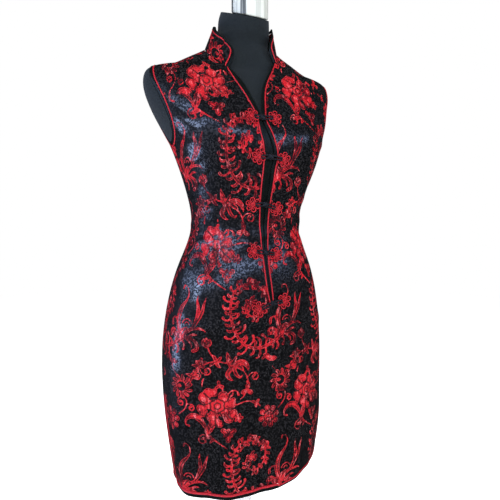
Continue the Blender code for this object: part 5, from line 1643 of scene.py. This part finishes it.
# %% Where the frogs sit
Frog = namedtuple("Frog", "name x rise right_x right_rise left_x left_rise radius")
FROGS = (
    Frog("1", -0.0177, 0.6935, -0.0370, 0.6956, 0.0080, 0.6956, 0.0138),
    Frog("2", -0.0025, 0.6278, -0.0247, 0.6268, 0.0245, 0.6246, 0.0134),
    Frog("3", -0.0030, 0.5451, -0.0262, 0.5440, 0.0216, 0.5372, 0.0140),
    Frog("4", -0.0022, 0.4561, -0.0235, 0.4583, 0.0199, 0.4518, 0.0142),
    Frog("5", 0.0067, 0.3639, -0.0205, 0.3550, 0.0310, 0.3662, 0.0150),
)
FROG_LIFT = 0.0011


def sweep(centres, radius, up, sides=7, closed=False):
    """Round cord through points in space."""
    ahead = unit(np.roll(centres, -1, 0) - np.roll(centres, 1, 0) if closed
                 else np.gradient(centres, axis=0))
    side = unit(np.cross(up, ahead))
    out = np.cross(ahead, side)
    radius = np.broadcast_to(radius, len(centres))[:, None]
    turns = 2 * np.pi * np.arange(sides) / sides
    rings = np.stack([centres + radius * (side * np.cos(t) + out * np.sin(t)) for t in turns], 1)
    return skin(rings, closed)


print("frogs at rises", [frog.rise for frog in FROGS])

# %% Flowers
PETALS, PETAL_CORD, PETAL_PAD, PETAL_TURN = 6, 0.00120, 0.0014, 0.35
PETAL_FOOT, PETAL_LENGTH, PETAL_HALF_WIDTH = 0.28, 0.66, 0.22   # shares of the flower's radius
PAD_FOOT, PAD_LENGTH, COIL_START, COIL_SHRINK, COIL_TURNS = 0.42, 0.34, 0.30, 0.24, 2.2
PETAL_RISE, PAD_LIFT, PAD_RISE, COIL_LIFT, COIL_RISE = 0.0010, 0.0007, 0.0006, 0.0006, 0.0008


def flower(frog, side):
    """Looped petals, their pads and the coiled eye of the flower at one side."""
    x, rise = ((frog.right_x, frog.right_rise), (frog.left_x, frog.left_rise))[side > 0]
    centre = place_at_x(x, rise)
    up = outward(centre)[0]

    def at(right, top, lift):
        places = moved(np.repeat(centre, len(right), 0), right, top)
        return lifted(places, 0.0) + outward(places) * np.asarray(lift)[:, None]

    parts = []
    r = frog.radius
    for k in range(PETALS):
        way = 2 * np.pi * k / PETALS + PETAL_TURN * side
        t = np.linspace(0, 2 * np.pi, 22, endpoint=False)
        out_way = r * PETAL_FOOT + r * PETAL_LENGTH * (0.5 - 0.5 * np.cos(t))
        width = r * PETAL_HALF_WIDTH * np.sin(t) * (1.15 - 0.5 * np.cos(t))
        height = FROG_LIFT + PETAL_CORD + PETAL_RISE * np.sin(t / 2) ** 2
        right = out_way * np.cos(way) - width * np.sin(way)
        top = out_way * np.sin(way) + width * np.cos(way)
        parts.append(sweep(at(right, top, height), PETAL_CORD, up, 8, True))
        s = np.linspace(0, 1, 9)
        along = r * (PAD_FOOT + PAD_LENGTH * s)
        pad = PETAL_PAD * np.sin(np.pi * (0.10 + 0.80 * s)) ** 0.6
        parts.append(sweep(at(along * np.cos(way), along * np.sin(way),
                              FROG_LIFT + PAD_LIFT + PAD_RISE * np.sin(np.pi * s)),
                           pad, up, 8))
    t = np.linspace(0, 1, 40)
    coil = r * (COIL_START - COIL_SHRINK * t)
    turn = 2 * np.pi * COIL_TURNS * t
    parts.append(sweep(at(coil * np.cos(turn), coil * np.sin(turn),
                          FROG_LIFT + PETAL_CORD + COIL_LIFT + COIL_RISE * t),
                       PETAL_CORD, up, 7))
    return joined(parts)


print("petals of a flower:", PETALS)

# %% Ball knots
KNOT_RADIUS, KNOT_CORD, KNOT_CORE, KNOT_FLATNESS = 0.0056, 0.00125, 0.0044, 0.86
KNOT_TURNS, KNOT_LEADS, KNOT_REACH = 3, 4, 0.62   # reach is a share of the way to a pole
LOOP_RADIUS, LOOP_SPREAD, LOOP_LIFT, LOOP_CLIMB = 0.0017, 0.0016, 0.0014, 0.0016
LOOP_SHORT = 0.30                       # a cord ends this share of a radius off the middle


def double_cords(frog, up):
    """The two pairs of cords that run from the knot to both flowers."""
    parts = []
    t = np.linspace(0, 1, 16)
    climb = LOOP_LIFT * (1 - t) + LOOP_CLIMB * np.clip((t - 0.6) / 0.3, 0, 1)
    for x, rise in ((frog.right_x, frog.right_rise), (frog.left_x, frog.left_rise)):
        gap = np.array([x - frog.x, rise - frog.rise])
        length = np.hypot(*gap)
        stop = gap / length * (length - frog.radius * LOOP_SHORT)
        across = np.array([-stop[1], stop[0]]) / np.hypot(*stop)
        for way in (-1, 1):
            spread = way * (LOOP_RADIUS * 1.08 + LOOP_SPREAD * np.sin(np.pi * t) * (1 - t))
            places = place_at_x(frog.x + stop[0] * t + across[0] * spread,
                                frog.rise + stop[1] * t + across[1] * spread)
            height = FROG_LIFT + LOOP_RADIUS + climb
            parts.append(sweep(lifted(places) + outward(places) * height[:, None],
                               LOOP_RADIUS, up, 7))
    return parts


def knot(frog):
    """Ball knot with the double cords that run to both flowers."""
    centre = place_at_x(frog.x, frog.rise)
    up = outward(centre)[0]
    east = unit(np.cross(UPRIGHT, up))
    north = np.cross(up, east)
    ball = lifted(centre)[0] + up * (FROG_LIFT + 0.72 * KNOT_RADIUS)
    t = np.linspace(0, 2 * np.pi, 110, endpoint=False)
    latitude = KNOT_REACH * np.sin(KNOT_LEADS * t) * np.pi / 2
    longitude = KNOT_TURNS * t
    weave = 1 + 0.10 * np.sin(2 * KNOT_LEADS * t + 0.6)
    space = ((np.cos(latitude) * np.cos(longitude))[:, None] * east
             + (np.cos(latitude) * np.sin(longitude))[:, None] * north
             + np.sin(latitude)[:, None] * up * KNOT_FLATNESS)
    woven = sweep(ball + space * (KNOT_CORE * weave)[:, None], KNOT_CORD, unit(space), 7, True)
    lat = np.radians(np.linspace(-90, 90, 9))[1:-1]
    lon = 2 * np.pi * np.arange(14) / 14
    rings = np.stack([ball + KNOT_CORE * 0.96 * (
        np.cos(a) * (np.cos(lon)[:, None] * east + np.sin(lon)[:, None] * north)
        + np.sin(a) * KNOT_FLATNESS * up) for a in lat])
    return joined(double_cords(frog, up) + [woven, skin(rings)])


for frog in FROGS:
    for side_name, side in (("right", -1), ("left", 1)):
        end = side_name + "_" + frog.name
        new_piece("cord_flower_" + end, *flower(frog, side), red_cord, "red_cord",
                               ("frog_flower_" + end,))
    new_piece("ball_knot_" + frog.name, *knot(frog), black_cord, "black_cord",
                           ("frog_knot_" + frog.name,))

# %% [markdown]
# ## The form
# The form is covered in charcoal jersey, smooth and matt.  It follows the same surface as
# the dress, set in by a few millimetres for the cloth, its folds and a little air, so no
# piece cuts another.  Its neck tapers to a sloping top, and a smooth pad fills each armhole.

# %% Jersey
def jersey_finish():
    j = Finish("form_jersey", Specular_IOR_Level=0.22, Sheen_Weight=0.07,
               Sheen_Roughness=0.5, Sheen_Tint=(0.75, 0.85, 1.0, 1))
    knit = j.noise(1300.0, 0.0, stretch=(1, 1, 0.35))
    soft = j.noise(14.0, 2.0)
    shade = j.mix(j.smooth(knit, 0.3, 0.7), (0.0050, 0.0072, 0.0082), (0.0128, 0.0172, 0.0190))
    tone = j.mix(j.smooth(soft, 0.3, 0.7) * 0.3, shade, (0.0070, 0.0090, 0.0112))
    return j.feed(Base_Color=tone, Roughness=0.78 + 0.14 * knit,
                  Normal=j.bump(knit, 0.0003, 0.35))


jersey = jersey_finish()
print("jersey nodes:", len(jersey.node_tree.nodes))

# %% Form
FORM_SIDES, FORM_EDGE, LID_DOME = 120, np.radians(40), 0.0012
FORM_CLEARANCE, SHOULDER_CLEARANCE = 0.0046, 0.0074
FORM_EASE_RISE, FORM_EASE_LENGTH, FORM_FADE_RISE = 0.700, 0.050, 0.852
FORM_SHOULDER_RISE, FORM_NECK_RISE, FORM_NECK_HEIGHT = 0.760, 0.866, 0.056
NECK_FRONT_RISE, NECK_FRONT_Y, NECK_SLANT = 0.888, -0.060, 0.45


def slanted(y):
    """Height of the neck's sloping top at a distance from front to back."""
    return HEM_HEIGHT + NECK_FRONT_RISE + NECK_SLANT * (y - NECK_FRONT_Y)


def torso():
    """Rings of the form from its foot up over the shoulders and neck to its lid."""
    angles = np.linspace(0, 2 * np.pi, FORM_SIDES, endpoint=False)
    rings = []
    for rise in np.concatenate([np.linspace(FORM_BOTTOM, FORM_SHOULDER_RISE, 76),
                                np.linspace(FORM_SHOULDER_RISE, FORM_NECK_RISE, 40)[1:]]):
        places = np.stack([angles, np.full(FORM_SIDES, girth_at(rise))], -1)
        fade = np.clip((rise - FORM_FADE_RISE) / (FORM_NECK_RISE - FORM_FADE_RISE), 0, 1)
        share = np.clip((rise - FORM_EASE_RISE) / FORM_EASE_LENGTH, 0, 1)
        depth = FORM_CLEARANCE + (SHOULDER_CLEARANCE - FORM_CLEARANCE) * share
        rings.append(surface(places) - outward(places) * depth * (1 - fade))
    for share in np.linspace(0, 1, 26)[1:]:
        girth = girth_at(FORM_NECK_RISE + share * FORM_NECK_HEIGHT)
        row = surface(np.stack([angles, np.full(FORM_SIDES, girth)], -1))
        row[:, 2] = (1 - share) * (HEM_HEIGHT + FORM_NECK_RISE) + share * slanted(row[:, 1])
        rings.append(row)
    rings = np.array(rings)
    rings[0, :, 2] = HEM_HEIGHT + FORM_BOTTOM
    centre = rings[-1].mean(0)
    lid = [centre + (rings[-1] - centre) * s + [0, 0, LID_DOME * (1 - s * s)]
           for s in (0.985, 0.93, 0.7, 0.35, 0.05)]
    return np.concatenate([rings, lid])


form = new_piece("form_cover", *skin(torso()), jersey, "form_jersey", ("form_torso",),
                 sharp=FORM_EDGE)
print("form faces:", len(form.data.polygons))

# %% Arm caps
CAP_ROWS, CAP_CELLS, CAP_THICKNESS = 60, 30, 0.0038


def cap(side):
    """Patch of places that fills one armhole."""
    edge_line = holes[side][0]
    longer = np.concatenate([edge_line[-3:-1], edge_line, edge_line[1:3]])
    inner = sideways(longer, -side * GAP)[2:-2]
    front_half = even(inner[:HOLE_SAMPLES], CAP_ROWS)
    back_half = even(inner[HOLE_SAMPLES - 1:][::-1], CAP_ROWS)
    share = np.linspace(0, 1, CAP_CELLS + 1)[None, :, None]
    return front_half[:, None] * (1 - share) + back_half[:, None] * share


for side_name, side in (("right", -1), ("left", 1)):
    points, faces, _ = shell([cap(side)], [(ticks(CAP_ROWS), ticks(CAP_CELLS))],
                             lambda p: surface(p) - outward(p) * GAP, outward, CAP_THICKNESS)
    new_piece("cap_" + side_name, points, facing_out(points, faces), jersey, "form_jersey",
              ("arm_cap_" + side_name,), sharp=FORM_EDGE)
print("cap faces:", len(faces))

# %% [markdown]
# ## Neck block and stand
# A pale, glossy turned block caps the neck.  Dark streaks run down it, gathered at one side:
# painted reflection of dark surroundings in its gloss.
# The form stands on a slim bright pole in a flat round foot.  All three are lathed: a profile
# of radius and height, turned round the upright axis, with its rims rounded.

# %% Finishes of block and stand
def wood_finish():
    w = Finish("neck_block", Specular_IOR_Level=0.4, Coat_Weight=0.22, Coat_Roughness=0.12)
    grain = w.noise(30.0, 3.0, stretch=(1, 1, 0.2))
    # painted reflection: dark vertical streaks in the colour, most of them on the side towards -X
    reflected_streaks = w.noise(95.0, 2.0, stretch=(1, 1, 0.03))
    pale = w.mix(grain, (0.50, 0.54, 0.50), (0.80, 0.83, 0.79))
    across = w.node("ShaderNodeSeparateXYZ", {0: w.place()}, out="X")
    reflecting_side = w.smooth(across, -0.026, 0.004, 1.0, 0.25)
    lined = w.mix(w.smooth(reflected_streaks, 0.46, 0.60) * reflecting_side, pale, (0.055, 0.062, 0.062))
    return w.feed(Base_Color=lined, Roughness=0.30 + 0.2 * grain,
                  Normal=w.bump(grain, 0.0004, 0.3))


def metal_finish():
    m = Finish("stand_metal", Metallic=0.15)
    brushed = m.noise(240.0, 1.0, stretch=(1, 1, 0.04))
    return m.feed(Base_Color=m.mix(brushed, (0.80, 0.81, 0.83), (0.90, 0.91, 0.93)),
                  Roughness=0.26 + 0.2 * brushed, Normal=m.bump(brushed, 0.0002, 0.3))


neck_paint, metal = wood_finish(), metal_finish()


print("finishes made:", len(bpy.data.materials))

# %% Neck block, pole and foot
BLOCK_X, BLOCK_Y, BLOCK_RADIUS, BLOCK_TOP = 0.002, -0.020, 0.0352, 0.9755
BLOCK_BEVEL, BLOCK_GAP = 0.003, 0.0016
POLE_RADIUS, POLE_BEVEL = 0.0125, 0.0003
FOOT_RADIUS, FOOT_THICKNESS, FOOT_BEVEL = 0.200, 0.008, 0.0016
FIRST_SIDE = (0.31, 0.9, 0.27)          # the first corner of each ring lies square to this


def turned(name, profile, centre, finish, slot, node, sides=96):
    """Lathed solid; profile rows are radius, height along the upright axis."""
    side = unit(np.cross(UPRIGHT, FIRST_SIDE))
    other = np.cross(UPRIGHT, side)
    t = 2 * np.pi * np.arange(sides)[:, None] / sides
    rings = np.stack([np.asarray(centre) + UPRIGHT * h
                      + r * (side * np.cos(t) + other * np.sin(t)) for r, h in profile])
    return new_piece(name, *skin(rings), finish, slot, (node,), sharp=GLOSS_EDGE)


def rounded(radius, low, high, bevel):
    """Profile of a disc with rounded rims."""
    turn = np.radians(np.linspace(0, 90, 5))
    bottom = [(radius - bevel + bevel * np.sin(a), low + bevel - bevel * np.cos(a))
              for a in turn]
    top = [(radius - bevel + bevel * np.cos(a), high - bevel + bevel * np.sin(a))
           for a in turn]
    return [(radius * 0.02, low)] + bottom + top + [(radius * 0.02, high)]


block = turned("block_turned", rounded(BLOCK_RADIUS, slanted(BLOCK_Y) + BLOCK_GAP,
                                       HEM_HEIGHT + BLOCK_TOP, BLOCK_BEVEL),
               (BLOCK_X, BLOCK_Y, 0), neck_paint, "neck_block", "neck_block")
for point in block.data.vertices:        # its foot follows the sloping top of the neck
    if point.co.z < HEM_HEIGHT + BLOCK_TOP - 0.01:
        point.co.z += NECK_SLANT * (point.co.y - BLOCK_Y)
turned("pole_tube", rounded(POLE_RADIUS, FOOT_THICKNESS + GAP, HEM_HEIGHT + FORM_BOTTOM - GAP,
                            POLE_BEVEL), (0, 0, 0), metal, "stand_metal", "pole", 64)
turned("foot_plate", rounded(FOOT_RADIUS, 0.0, FOOT_THICKNESS, FOOT_BEVEL), (0, 0, 0), metal,
       "stand_metal", "foot", 128)
print("block top", round(HEM_HEIGHT + BLOCK_TOP, 4), "m above the floor")
